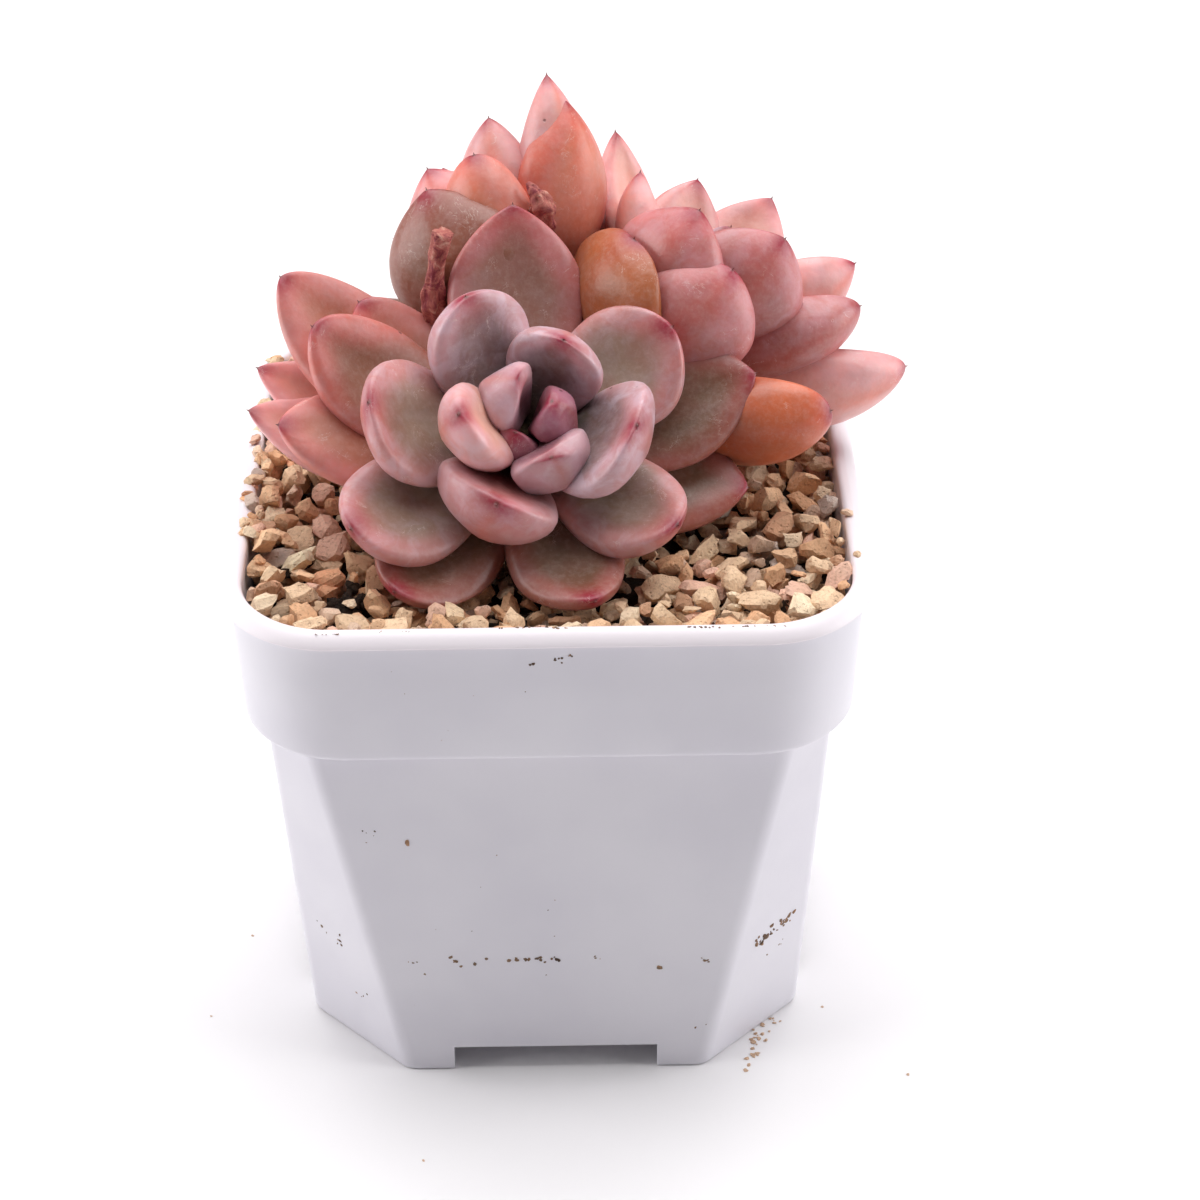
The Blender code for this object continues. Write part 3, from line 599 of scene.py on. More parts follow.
def leaf_colours(tone, width, u, v, reach, phase):
    """Colour and bloom over a leaf, for stations u, angles v and distances from its tip.

    The centre tone turns to the edge tone towards the rim, the tip and the under side, and to the
    foot tone towards the base, which is partly the leaf's own greener base and partly painted shade
    where the leaves crowd together. The keel and the end of the leaf are redder, and a crimson spot
    with a brown point marks the tip. Bloom lies thickest towards the edges and thins out at both ends.
    """
    foot, centre, edge, bloom = TONES[tone]
    cosine, sine = np.cos(v)[None, :], np.sin(v)[None, :]
    ragged = 0.10 * np.sin(6.0 * u + phase[3] + 2.0 * v) + 0.06 * np.sin(15.0 * u + phase[4] - v)
    rim = smooth_step(0.45, 1.05, np.abs(cosine) + ragged + 0.55 * smooth_step(0.55, 1.0, u))
    rim = np.maximum(rim, 0.8 * smooth_step(0.82, 1.0, u))
    under = smooth_step(0.25, -0.45, sine) * 0.45
    share = np.clip(rim + under * (1.0 - rim), 0.0, 1.0)
    colour = mixed(centre, edge, share)
    # Painted shade: the darker foot tone near the base stands partly for shade between overlapping leaves.
    foot_tone_and_shade = (1.0 - smooth_step(0.05, 0.55, u + ragged)) * (1.0 - 0.5 * share)
    colour = mixed(colour, foot, foot_tone_and_shade)
    keel = np.exp(-((cosine / 0.30) ** 2)) * smooth_step(0.1, -0.5, sine) * smooth_step(0.35, 0.9, u)
    colour = mixed(colour, edge * np.array([1.02, 0.68, 0.52]), 0.65 * keel)
    end = np.exp(-((reach / (0.27 * width)) ** 2))
    colour = mixed(colour, edge * np.array([0.98, 0.48, 0.50]), 0.70 * end)
    spot = (TIP_SPOT + 0.06 * width) * (1.0 + 0.25 * np.sin(2.0 * v + phase[5]))
    blush = np.exp(-((reach / spot) ** 2.6))
    colour = mixed(colour, CRIMSON, 0.95 * blush)
    colour = mixed(colour, SPINE_BROWN, 0.85 * smooth_step(0.65, 0.30, reach))
    lit = bloom * (0.30 + 0.70 * smooth_step(0.15, 0.95, np.abs(cosine) + 0.3 * (sine < 0.0)))
    lit = lit * smooth_step(0.05, 0.5, u) * (1.0 - blush)
    return colour, BLOOM_STRENGTH * lit


def leaf_skin(leaf, random):
    """Rings of a leaf's skin from base to tip, with its colour and bloom at every point.

    The section is a flattened ellipse, fuller below than above, with its edges raised, a shallow
    hollow along the upper face and a keel along the lower one. The middle line bows away from the
    upper face as 4 u (1 - u), and its end turns up. A few slow sines of random phase keep the skin
    from being quite regular.
    """
    name, head, around, opening, station, length, width, thick, blunt, widest, roll, tone = leaf
    base, along, upper, side = leaf_frame(head, around, opening, station, roll)
    u, full, half_width, half_depth = leaf_outline(length, width, thick, blunt, widest)
    v = 2.0 * np.pi * np.arange(LEAF_SIDES) / LEAF_SIDES
    cosine, sine = np.cos(v)[None, :], np.sin(v)[None, :]
    phase = random.uniform(0.0, 2.0 * np.pi, 6)
    column = u[:, None]
    swell = 1.0 + 0.020 * np.sin(2.0 * v + 4.0 * column + phase[0])
    swell = swell + 0.014 * np.sin(3.0 * v - 7.0 * column + phase[1])
    swell = swell + 0.010 * np.sin(5.0 * v + 9.0 * column + phase[2])
    body = (full * half_depth)[:, None]
    hollow = random.uniform(0.10, 0.28) * body * np.exp(-((cosine / 0.42) ** 2))
    keel = random.uniform(0.02, 0.14) * body * np.exp(-((cosine / 0.30) ** 2))
    cup = random.uniform(0.08, 0.15)
    x = half_width[:, None] * cosine * swell
    fullness = np.where(sine >= 0.0, UPPER_DEPTH, LOWER_DEPTH)
    depth = fullness * half_depth[:, None] * np.abs(sine) ** 0.85 * np.sign(sine)
    y = depth * swell + cup * half_width[:, None] * (cosine**2 - 0.5)
    y = y - (np.where(sine > 0.0, hollow, 0.0) + np.where(sine < 0.0, keel, 0.0)) * np.abs(sine)
    bow = BOWS.get(name, random.uniform(*BOW)) * length * 4.0 * u * (1.0 - u)
    sway = random.uniform(-0.02, 0.02) * length * np.sin(np.pi * u)
    hook = HOOKS.get(name, BLUNT_HOOK if blunt < 0.7 else SHARP_HOOK)
    curl = hook * thick * np.clip((u - 0.70) / 0.30, 0.0, 1.0) ** 2
    middle = base + np.outer(u * length, along) + np.outer(curl - bow, upper) + np.outer(sway, side)
    twist = np.radians(random.uniform(-5.0, 5.0)) * (column - 0.4)
    x, y = x * np.cos(twist) - y * np.sin(twist), y * np.cos(twist) + x * np.sin(twist)
    grid = middle[:, None, :] + x[..., None] * side + y[..., None] * upper
    reach = np.linalg.norm(grid - middle[-1], axis=-1)
    colour, bloom = leaf_colours(tone, width, column, v, reach, phase)
    colour = colour * random.uniform(0.94, 1.06)
    return grid, np.clip(colour, 0.0, 1.0), bloom


def pressed(points, centre, random, count, depth):
    """Points pushed in softly behind a few random planes, as where buds lie tight together."""
    size = np.abs((points - centre)).max()
    for _ in range(count):
        normal = unit(random.normal(size=3))
        reach = ((points - centre) @ normal).max()
        over = (points - centre) @ normal - reach * (1.0 - depth)
        soft = 0.022 * size
        points = points - np.outer(soft * np.logaddexp(0.0, over / soft), normal)
    return points


def with_poles(values):
    """Values on a grid, with the means of the first and last ring for the two end points."""
    table = values.reshape(*values.shape[:2], -1)
    ends = table[[0, -1]].mean(axis=1)
    return np.vstack([table.reshape(-1, table.shape[-1]), ends])


def make_leaves():
    """Every leaf, and all their surface points for the grit to keep clear of."""
    skins = []
    for number, leaf in enumerate(LEAVES + YOUNG_LEAVES):
        random = np.random.default_rng(100 + number)
        grid, colour, bloom = leaf_skin(leaf, random)
        name, head = leaf[:2]
        slot = LEAF_SLOTS[head]
        if "heart" in name:
            slot = "leaf_bloom"
            flat = grid.reshape(-1, 3)
            grid = pressed(flat, flat.mean(0), random, 9, 0.20).reshape(grid.shape)
        grid[..., 2] = np.maximum(grid[..., 2], GRIT_TOP + 0.2)
        points, faces = closed_skin(grid)
        node = [name] if leaf in LEAVES else []
        looks = {"colours": with_poles(colour), "bloom": with_poles(bloom)}
        make(name + "_skin", points, faces, LEAF_SKIN, slot, node, **looks)
        skins.append(points)
    return np.vstack(skins)


# Stem and withered bits -------------------------------------------------------------------------


def curve_through(start, middle, end, count):
    """Points on the curve of second degree that passes all three places."""
    start, middle, end = (np.array(place, float) for place in (start, middle, end))
    handle = 2.0 * middle - 0.5 * (start + end)
    t = np.linspace(0.0, 1.0, count)[:, None]
    return (1 - t) ** 2 * start + 2 * t * (1 - t) * handle + t**2 * end


def tube(path, radii, sides, crumple=0.0, seed=0):
    """Rings square to a path; crumple folds the skin in and out by that share of its radius."""
    random = np.random.default_rng(seed)
    forward = np.gradient(path, axis=0)
    forward /= np.linalg.norm(forward, axis=1)[:, None]
    side = np.cross(forward, np.array([0.31, 0.95, 0.02]))
    side /= np.linalg.norm(side, axis=1)[:, None]
    other = np.cross(forward, side)
    v = 2.0 * np.pi * np.arange(sides) / sides
    t = np.linspace(0.0, 1.0, len(path))[:, None]
    phase = random.uniform(0.0, 6.3, 6)
    fold = np.sin(5.0 * v + 6.0 * t + phase[0]) + 0.7 * np.sin(8.0 * v - 11.0 * t + phase[1])
    fold = fold + 0.8 * np.sin(2.0 * v + 23.0 * t + phase[2]) + 0.5 * np.sin(3.0 * v - 41.0 * t + phase[3])
    around = np.asarray(radii)[:, None] * (1.0 + crumple * fold)
    ring = np.cos(v)[None, :, None] * side[:, None, :] + np.sin(v)[None, :, None] * other[:, None, :]
    return path[:, None, :] + around[..., None] * ring


TRUNK_SPOT = (0.0, 4.0)
BRANCH_RINGS = 28


def make_stem():
    """The woody trunk with its three branches, knobbly with old leaf scars."""
    foot = PLANT + np.array([*TRUNK_SPOT, -7.0])
    fork = PLANT + np.array([*TRUNK_SPOT, 2.0])
    trunk = np.linspace(foot, fork + np.array([0.0, 0.0, 1.5]), 16)
    parts = [closed_skin(tube(trunk, np.linspace(3.8, 3.3, 16), 20, 0.03, 1))]
    for seed, (head, (tip, _, _)) in enumerate(HEADS.items()):
        reach = max(leaf[4] for leaf in LEAVES if leaf[1] == head)
        end = PLANT + np.array(tip)
        path = curve_through(fork, end - 0.8 * reach * head_axis(head), end, BRANCH_RINGS)
        scars = 1.0 + 0.10 * np.abs(np.sin(np.linspace(0.0, 9.0 * np.pi, BRANCH_RINGS)))
        radii = np.linspace(2.3, 1.4, BRANCH_RINGS) * scars
        parts.append(closed_skin(tube(path, radii, 18, 0.03, 5 + seed)))
    points, faces = joined(parts)
    make("stem_bark", points, faces, BARK, "stem_bark", ["stem"])


# Withered bit: spine places above the grit, radii along it, folding and finish.
STALK_STUB = ((-12.5, 4.5, 18.0), (-13.0, 2.8, 24.5), (-11.6, 2.0, 33.2))
BACK_HUSK = ((0.2, 11.0, 28.5), (-0.2, 9.0, 33.3), (-1.8, 10.0, 35.6))
RIGHT_HUSK = ((11.0, 1.5, 23.5), (12.6, -0.5, 25.2), (15.2, -0.5, 23.6))
WITHERED = {
    "flower_stalk_stub": (STALK_STUB, (0.9, 1.35, 1.5, 1.2, 0.9, 1.25), 0.10, STALK),
    "withered_leaf_back": (BACK_HUSK, (0.7, 1.3, 1.4, 0.8, 0.25), 0.14, STALK),
    "withered_leaf_right": (RIGHT_HUSK, (0.6, 1.1, 0.9, 0.4), 0.14, HUSK),
}
WITHERED_RINGS = 60


def make_withered():
    """The dried stalk and leaves, each replacing its own node."""
    for seed, (name, (spine, radii, crumple, finish)) in enumerate(WITHERED.items()):
        path = curve_through(*spine, WITHERED_RINGS) + PLANT
        along = np.linspace(0.0, 1.0, WITHERED_RINGS)
        thickness = np.interp(along, np.linspace(0.0, 1.0, len(radii)), radii)
        points, faces = closed_skin(tube(path, thickness, 28, crumple, 20 + seed))
        make(name + "_dried", points, faces, finish, "withered", [name])


# Pot --------------------------------------------------------------------------------------------

BEND_STEPS = 9

# The radius that rounds a whole cut corner off, and how an offset of the outline shortens the cut.
FULL_ROUND = 1.0 + math.sqrt(0.5)
OFFSET_SHARE = 2.0 - math.sqrt(2.0)


def cut_square(half, cut, softness, z):
    """One level of the pot: a square whose corners are cut at 45 degrees, each bend an arc."""
    radius = min(softness, 0.97 * FULL_ROUND * cut)
    near = half - cut - radius * math.tan(math.radians(22.5))
    far = half - radius
    angle = np.radians(45.0) * np.arange(BEND_STEPS + 1) / BEND_STEPS
    bends = []
    for x, y, start in ((far, near, 0.0), (near, far, np.pi / 4)):
        turned = angle + start
        bends.append(np.stack([x + radius * np.cos(turned), y + radius * np.sin(turned)], axis=1))
    corner = np.vstack(bends)
    level = []
    for quarter in range(4):
        cosine = math.cos(0.5 * math.pi * quarter)
        sine = math.sin(0.5 * math.pi * quarter)
        level.append(corner @ np.array([[cosine, sine], [-sine, cosine]]))
    flat = np.vstack(level)
    return np.hstack([flat, np.full((len(flat), 1), z)]) + POT_AXIS


def round_square(half, radius, z):
    """One level of the collar: a square with round corners, made of the same points."""
    return cut_square(half, radius / FULL_ROUND, radius, z)


def tub_size(z):
    """The tub's half width at height z, and how much of each corner is cut off."""
    share = z / COLLAR_BOTTOM
    half = LIP_HALF - LIP_OVERHANG - COLLAR_TAPER - COLLAR_STEP - TUB_TAPER * (1.0 - share)
    return half, BASE_CHAMFER + (SHOULDER_CHAMFER - BASE_CHAMFER) * share


def tub_level(z, inset):
    """The tub's outline at height z, moved inwards by inset."""
    half, chamfer = tub_size(z)
    softness = max(CHAMFER_SOFTNESS - inset, 1.0)
    return cut_square(half - inset, chamfer - OFFSET_SHARE * inset, softness, z)


def collar_half(z):
    """The collar's half width at height z."""
    share = (z - COLLAR_BOTTOM) / (POT_HEIGHT - LIP_THICKNESS - COLLAR_BOTTOM)
    return LIP_HALF - LIP_OVERHANG - COLLAR_TAPER * (1.0 - share)


def collar_level(z, inset):
    """The collar's outline at height z, moved inwards by inset."""
    return round_square(collar_half(z) - inset, LIP_CORNER_RADIUS - LIP_OVERHANG - inset, z)


def quarter_turn(count=5):
    """Pairs (share outwards, share upwards) along a rounded edge."""
    angle = np.linspace(0.0, 0.5 * np.pi, count)
    return list(zip(1.0 - np.cos(angle), np.sin(angle)))


FOOT_ROUND = 0.5
STEP_ROUND = 0.9
MOUTH_ROUND = 0.6
TUB_MIDDLE = 30.0


def pot_levels():
    """The pot's outlines, from the inside of the foot down, up the outside and into the tub."""
    lip_bottom = POT_HEIGHT - LIP_THICKNESS
    levels = [tub_level(FOOT_HEIGHT, WALL), tub_level(FOOT_ROUND, WALL)]
    for out, up in quarter_turn(4)[1:]:
        levels.append(tub_level(FOOT_ROUND * (1.0 - up), WALL - FOOT_ROUND * out))
    levels += [tub_level(FOOT_ROUND * out, FOOT_ROUND * (1.0 - up)) for out, up in quarter_turn(4)]
    levels += [tub_level(z, 0.0) for z in np.linspace(2.0, COLLAR_BOTTOM - 0.6, 9)]
    levels += [tub_level(COLLAR_BOTTOM - 0.15, 0.0), tub_level(COLLAR_BOTTOM, -0.25)]
    levels += [collar_level(COLLAR_BOTTOM, 1.6)]
    for out, up in quarter_turn(6):
        levels.append(collar_level(COLLAR_BOTTOM + STEP_ROUND * out, STEP_ROUND * (1.0 - up)))
    levels += [collar_level(z, 0.0) for z in np.linspace(COLLAR_BOTTOM + 3.0, lip_bottom - 0.5, 4)]
    levels += [collar_level(lip_bottom - 0.1, -0.08), collar_level(lip_bottom, -0.3)]
    for out, up in quarter_turn(4):
        place = LIP_HALF - LIP_UNDER * (1.0 - up)
        levels.append(round_square(place, LIP_CORNER_RADIUS - LIP_HALF + place, lip_bottom + LIP_UNDER * out))
    for share in np.linspace(0.0, 1.0, 11)[1:]:
        place = LIP_HALF - LIP_SLOPE * share**1.25
        drop = (LIP_THICKNESS - LIP_UNDER) * (1.0 - share) ** 1.3
        levels.append(round_square(place, LIP_CORNER_RADIUS - LIP_HALF + place, POT_HEIGHT - drop))
    for out, up in quarter_turn(5):
        inset = MOUTH_ROUND * (1.0 - up)
        levels.append(round_square(INNER_HALF + inset, INNER_RADIUS + inset, POT_HEIGHT - MOUTH_ROUND * out))
    ledge = COLLAR_BOTTOM + WALL
    levels += [collar_level(z, WALL) for z in np.linspace(POT_HEIGHT - 2.5, ledge, 5)]
    levels += [tub_level(z, WALL) for z in (ledge - 0.01, TUB_MIDDLE, FOOT_HEIGHT + FLOOR_THICKNESS)]
    return np.stack(levels)


def capped(rings, sides):
    """Faces of a stack of rings, with one flat face over each end."""
    last = (rings - 1) * sides
    return strip_faces(rings, sides).tolist() + [list(range(sides))[::-1], list(range(last, last + sides))]


def cutter(name, half_x, half_y, low, high, centre=(0.0, 0.0), sides=4):
    """A box or, with more sides, an upright drum that is cut out of the pot."""
    turn = 2.0 * np.pi * (np.arange(sides) + 0.5) / sides
    grow = 1.0 / math.cos(math.pi / sides) if sides == 4 else 1.0
    ring = np.stack([half_x * grow * np.cos(turn), half_y * grow * np.sin(turn)], axis=1)
    ring = ring + POT_AXIS[:2] + np.array(centre)
    points = np.vstack([np.hstack([ring, np.full((sides, 1), z)]) for z in (low, high)])
    return build(name, points, capped(2, sides), smooth=False)


def make_pot():
    """The tub, collar, lip and feet, with the notches and drain holes cut out."""
    levels = pot_levels()
    faces = capped(*levels.shape[:2])
    pot = make("pot_shell", levels.reshape(-1, 3), faces, PLASTIC, "pot_plastic", ["pot"])
    beyond = LIP_HALF + 5.0
    below = -5.0
    cutters = [
        cutter("notch_front_back", NOTCH_HALF_WIDTH, beyond, below, NOTCH_HEIGHT),
        cutter("notch_left_right", beyond, NOTCH_HALF_WIDTH, below, NOTCH_HEIGHT),
    ]
    for row in (-1, 0, 1):
        for column in (-1, 0, 1):
            centre = (column * DRAIN_SPACING, row * DRAIN_SPACING)
            name = f"drain_{row + 1}_{column + 1}"
            cutters.append(cutter(name, DRAIN_RADIUS, DRAIN_RADIUS, *DRAIN_CUT, centre, 32))
    for tool in cutters:
        modifier = pot.modifiers.new(tool.name, "BOOLEAN")
        modifier.operation = "DIFFERENCE"
        modifier.solver = "EXACT"
        modifier.object = tool
    graph = bpy.context.evaluated_depsgraph_get()
    finished = bpy.data.meshes.new_from_object(pot.evaluated_get(graph))
    pot.modifiers.clear()
    pot.data = finished
    finished.shade_smooth()
    finished.set_sharp_from_angle(angle=math.radians(32.0))
    for tool in cutters:
        bpy.data.objects.remove(tool)


# Grit -------------------------------------------------------------------------------------------

# How many of the granules have each of the clay's tones.
CLAY_SHARES = [0.22, 0.18, 0.14, 0.14, 0.12, 0.07, 0.06, 0.03, 0.04]
CLAY_TONES = np.array(
    [
        paint(250, 216, 180),
        paint(246, 202, 162),
        paint(236, 184, 142),
        paint(255, 230, 198),
        paint(246, 200, 178),
        paint(236, 204, 180),
        paint(212, 164, 132),
        paint(204, 188, 178),
        paint(240, 176, 136),
    ]
)
# Where the grit lies thin and dark soil shows, across the pot.
BARE_SPOT = np.array([-22.5, -24.6])
BARE_REACH = np.array([3.2, 2.3])

# How uneven a granule's skin is, and the shares by which it is stretched along its three axes.
ROUGHNESS = 0.085
STRETCH = ((0.95, 1.4), (0.8, 1.1), (0.6, 0.9))

# Tier of grit: piece, how many granules are tried, smallest and largest radius, height over the
# swells, how far apart they lie as a share of their radii, and painted shade that darkens deeper tiers.
TIERS = (
    ("grit_bottom", 900, (1.1, 1.9), -2.2, 0.80, 0.55),
    ("grit_middle", 1000, (1.1, 2.2), -0.6, 0.78, 0.95),
    ("grit_top", 900, (0.9, 2.5), 1.1, 0.80, 1.0),
)
STRAYS_LEFT = 46
STRAYS_RIGHT = 3
CRUMBS_THICK = 60
CRUMBS_LOOSE = 150


def cube_ball(cuts=3):
    """A ball made of six squares of quads, blown up to unit radius."""
    line = np.linspace(-1.0, 1.0, cuts + 1)
    points, faces, seen = [], [], {}
    for axis in range(3):
        for sign in (-1.0, 1.0):
            index = {}
            for i, a in enumerate(line):
                for j, b in enumerate(line):
                    spot = [0.0, 0.0, 0.0]
                    spot[axis], spot[(axis + 1) % 3], spot[(axis + 2) % 3] = sign, a, b
                    key = tuple(round(value, 4) for value in spot)
                    if key not in seen:
                        seen[key] = len(points)
                        points.append(spot)
                    index[i, j] = seen[key]
            for i in range(cuts):
                for j in range(cuts):
                    quad = [index[i, j], index[i + 1, j], index[i + 1, j + 1], index[i, j + 1]]
                    faces.append(quad if sign > 0 else quad[::-1])
    points = np.array(points)
    return points / np.linalg.norm(points, axis=1)[:, None], np.array(faces)


def turns(count, random):
    """Random rotations, from evenly spread quaternions."""
    q = random.normal(size=(count, 4))
    q /= np.linalg.norm(q, axis=1)[:, None]
    w, x, y, z = q.T
    rows = [
        [1 - 2 * (y * y + z * z), 2 * (x * y - z * w), 2 * (x * z + y * w)],
        [2 * (x * y + z * w), 1 - 2 * (x * x + z * z), 2 * (y * z - x * w)],
        [2 * (x * z - y * w), 2 * (y * z + x * w), 1 - 2 * (x * x + y * y)],
    ]
    return np.moveaxis(np.array(rows), -1, 0)


def pebbles(centres, radii, random, planes=9, flat=0.80):
    """Broken granules: balls cut back by random planes, stretched, turned and put in place."""
    ball, faces = cube_ball()
    count = len(centres)
    points = np.repeat(ball[None], count, axis=0)
    for _ in range(planes):
        normal = random.normal(size=(count, 3))
        normal /= np.linalg.norm(normal, axis=1)[:, None]
        limit = random.uniform(0.40, 0.80, count)
        over = np.einsum("nvk,nk->nv", points, normal) - limit[:, None]
        points = points - np.maximum(over, 0.0)[..., None] * normal[:, None, :]
    points = points * (1.0 + ROUGHNESS * random.normal(size=(count, ball.shape[0], 1)))
    stretch = np.stack([random.uniform(low, high, count) for low, high in STRETCH], axis=1)
    points = points * stretch[:, None, :]
    points = np.einsum("nij,nvj->nvi", turns(count, random), points)
    points[..., 2] *= flat
    points = points * np.asarray(radii)[:, None, None] + centres[:, None, :]
    first = (np.arange(count) * ball.shape[0])[:, None, None]
    return points.reshape(-1, 3), (faces[None] + first).reshape(-1, 4), ball.shape[0]


def inside_collar(spots, margin):
    """Which places across the pot lie inside its wall by at least the margin."""
    half = INNER_HALF - margin
    radius = np.maximum(INNER_RADIUS - margin, 0.5)
    over = np.maximum(np.abs(spots) - (half - radius)[..., None], 0.0)
    return (np.abs(spots).max(-1) <= half) & (np.hypot(over[..., 0], over[..., 1]) <= radius)


def scatter(sizes, closeness, random, tries=26):
    """Places for round granules of the given radii, largest first, none much over another."""
    spots, kept = np.zeros((0, 2)), np.zeros(0)
    for radius in np.sort(sizes)[::-1]:
        guess = random.uniform(-INNER_HALF, INNER_HALF, (tries, 2))
        fits = inside_collar(guess, np.full(tries, 0.80 * radius))
        if len(spots):
            gap = np.linalg.norm(guess[:, None] - spots[None], axis=-1) - closeness * (kept + radius)[None]
            fits &= (gap > 0.0).all(axis=1)
        if fits.any():
            spots = np.vstack([spots, guess[np.argmax(fits)]])
            kept = np.append(kept, radius)
    return spots, kept


def heave(spots):
    """The grit's uneven level: slow swells, high along the rims, low under the plant and back right."""
    x, y = spots[:, 0] / INNER_HALF, spots[:, 1] / INNER_HALF
    level = 0.45 * np.sin(2.3 * x + 1.1) * np.cos(1.9 * y - 0.4) + 0.3 * np.sin(5.0 * x - 4.0 * y)
    level = level + 1.5 * smooth_step(-0.70, -1.0, x)
    level = level - 0.7 * smooth_step(0.2, 1.0, x) * smooth_step(0.0, 1.0, y)
    level = level + 0.6 * smooth_step(0.75, 1.0, np.maximum(np.abs(x), np.abs(y)))
    under_plant = np.exp(-((x / 0.62) ** 4) - (((y + 0.15) / 0.66) ** 4))
    return level - 1.1 * under_plant


def tinted(count, each, random, painted_shade):
    """A clay tone for each granule, darkened by its tier's painted shade, given to all its points."""
    tones = CLAY_TONES[random.choice(len(CLAY_TONES), count, p=CLAY_SHARES)]
    # Painted shade: the tones of the deeper tiers are darkened by a fixed factor.
    tones = tones * random.uniform(0.82, 1.12, (count, 1)) * painted_shade
    return np.repeat(np.clip(tones, 0.0, 1.0), each, axis=0)


def make_crumbs():
    """Dark crumbs of soil where the grit lies thin, and a few worked up between the granules."""
    random = np.random.default_rng(23)
    thick = BARE_SPOT + random.normal(size=(CRUMBS_THICK, 2)) * np.array([1.5, 1.1])
    reach = 0.93 * INNER_HALF
    loose = random.uniform(-reach, reach, (CRUMBS_LOOSE, 2))
    spots = np.vstack([thick, loose])
    spots = spots[inside_collar(spots, np.full(len(spots), 1.2))]
    lift = np.where(np.arange(len(spots)) < CRUMBS_THICK, 0.1, -0.3)
    height = heave(spots) + lift + random.uniform(-1.0, 0.4, len(spots))
    centres = np.hstack([spots, height[:, None]]) + PLANT
    points, faces, _ = pebbles(centres, random.uniform(0.3, 1.0, len(spots)), random, planes=4)
    make("soil_crumbs", points, faces.tolist(), SOIL, "potting_mix", sharp=28.0)


def lip_strays():
    """Granules left lying on the lip, most of them along its left side."""
    random = np.random.default_rng(31)
    left = random.uniform(-16.0, 28.0, STRAYS_LEFT)
    right = random.uniform(-24.0, -12.0, STRAYS_RIGHT)
    along = np.concatenate([left, right])
    side = np.repeat([-1.0, 1.0], [STRAYS_LEFT, STRAYS_RIGHT])
    across = side * (INNER_HALF + random.uniform(-1.3, 1.0, len(along)))
    height = POT_HEIGHT + random.uniform(-0.3, 0.5, len(along))
    return np.stack([across, along, height], axis=1) + POT_AXIS


def clear_of(centres, radii, skin):
    """Which granules neither touch nor stand inside any of the given surface points."""
    low = skin[skin[:, 2] < GRIT_TOP + 6.0]
    tree = KDTree(len(low))
    for index, point in enumerate(low):
        tree.insert(point, index)
    tree.balance()
    return np.array([tree.find(centre)[2] > 0.85 * radius for centre, radius in zip(centres, radii)])


def make_grit(skin):
    """Three tiers of loose granules over dark soil, and a few strays on the lip."""
    random = np.random.default_rng(7)
    for name, count, (small, large), lift, closeness, painted_shade in TIERS:
        sizes = small + (large - small) * random.uniform(0.0, 1.0, count) ** 1.7
        spots, radii = scatter(sizes, closeness, random)
        if name != "grit_bottom":
            bare = np.linalg.norm((spots - BARE_SPOT) / BARE_REACH, axis=1) < 1.0
            bare &= random.uniform(0.0, 1.0, len(spots)) < 0.75
            spots, radii = spots[~bare], radii[~bare]
        height = heave(spots) + lift + random.uniform(-0.5, 0.5, len(spots)) - 0.25 * radii
        centres = np.hstack([spots, height[:, None]]) + PLANT
        if name == "grit_top":
            free = clear_of(centres, radii, skin)
            strays = lip_strays()
            centres = np.vstack([centres[free], strays])
            radii = np.append(radii[free], random.uniform(0.6, 1.35, len(strays)))
        points, faces, each = pebbles(centres, radii, random)
        points[:, 2] = np.minimum(points[:, 2], POT_HEIGHT + 2.0)
        looks = {"sharp": 22.0, "colours": tinted(len(radii), each, random, painted_shade)}
        node = ["grit_layer"] if name == "grit_top" else []
        make(name, points, faces.tolist(), CLAY, "clay_grit", node, **looks)


def make_soil():
    """A rough dark bed under the granules, from wall to wall."""
    share = np.linspace(0.0, 1.0, 60)[1:, None, None]
    rim = round_square(INNER_HALF - 0.4, INNER_RADIUS - 0.4, 0.0)
    grid = POT_AXIS + (rim - POT_AXIS)[None] * share
    x, y = grid[..., 0], grid[..., 1]
    height = -2.6 + 0.5 * np.sin(1.9 * x) * np.cos(2.3 * y) + 0.35 * np.sin(4.1 * x + 3.7 * y)
    grid[..., 2] = GRIT_TOP + height
    bottom = grid[-1:].copy()
    middle = POT_AXIS + (bottom - POT_AXIS) * 0.02
    bottom[..., 2] = middle[..., 2] = GRIT_TOP - 6.0
    grid = np.concatenate([grid, bottom, middle])
    points, faces = closed_skin(grid[::-1])
    make("soil_bed", points, faces, SOIL, "potting_mix")


# Dirt -------------------------------------------------------------------------------------------

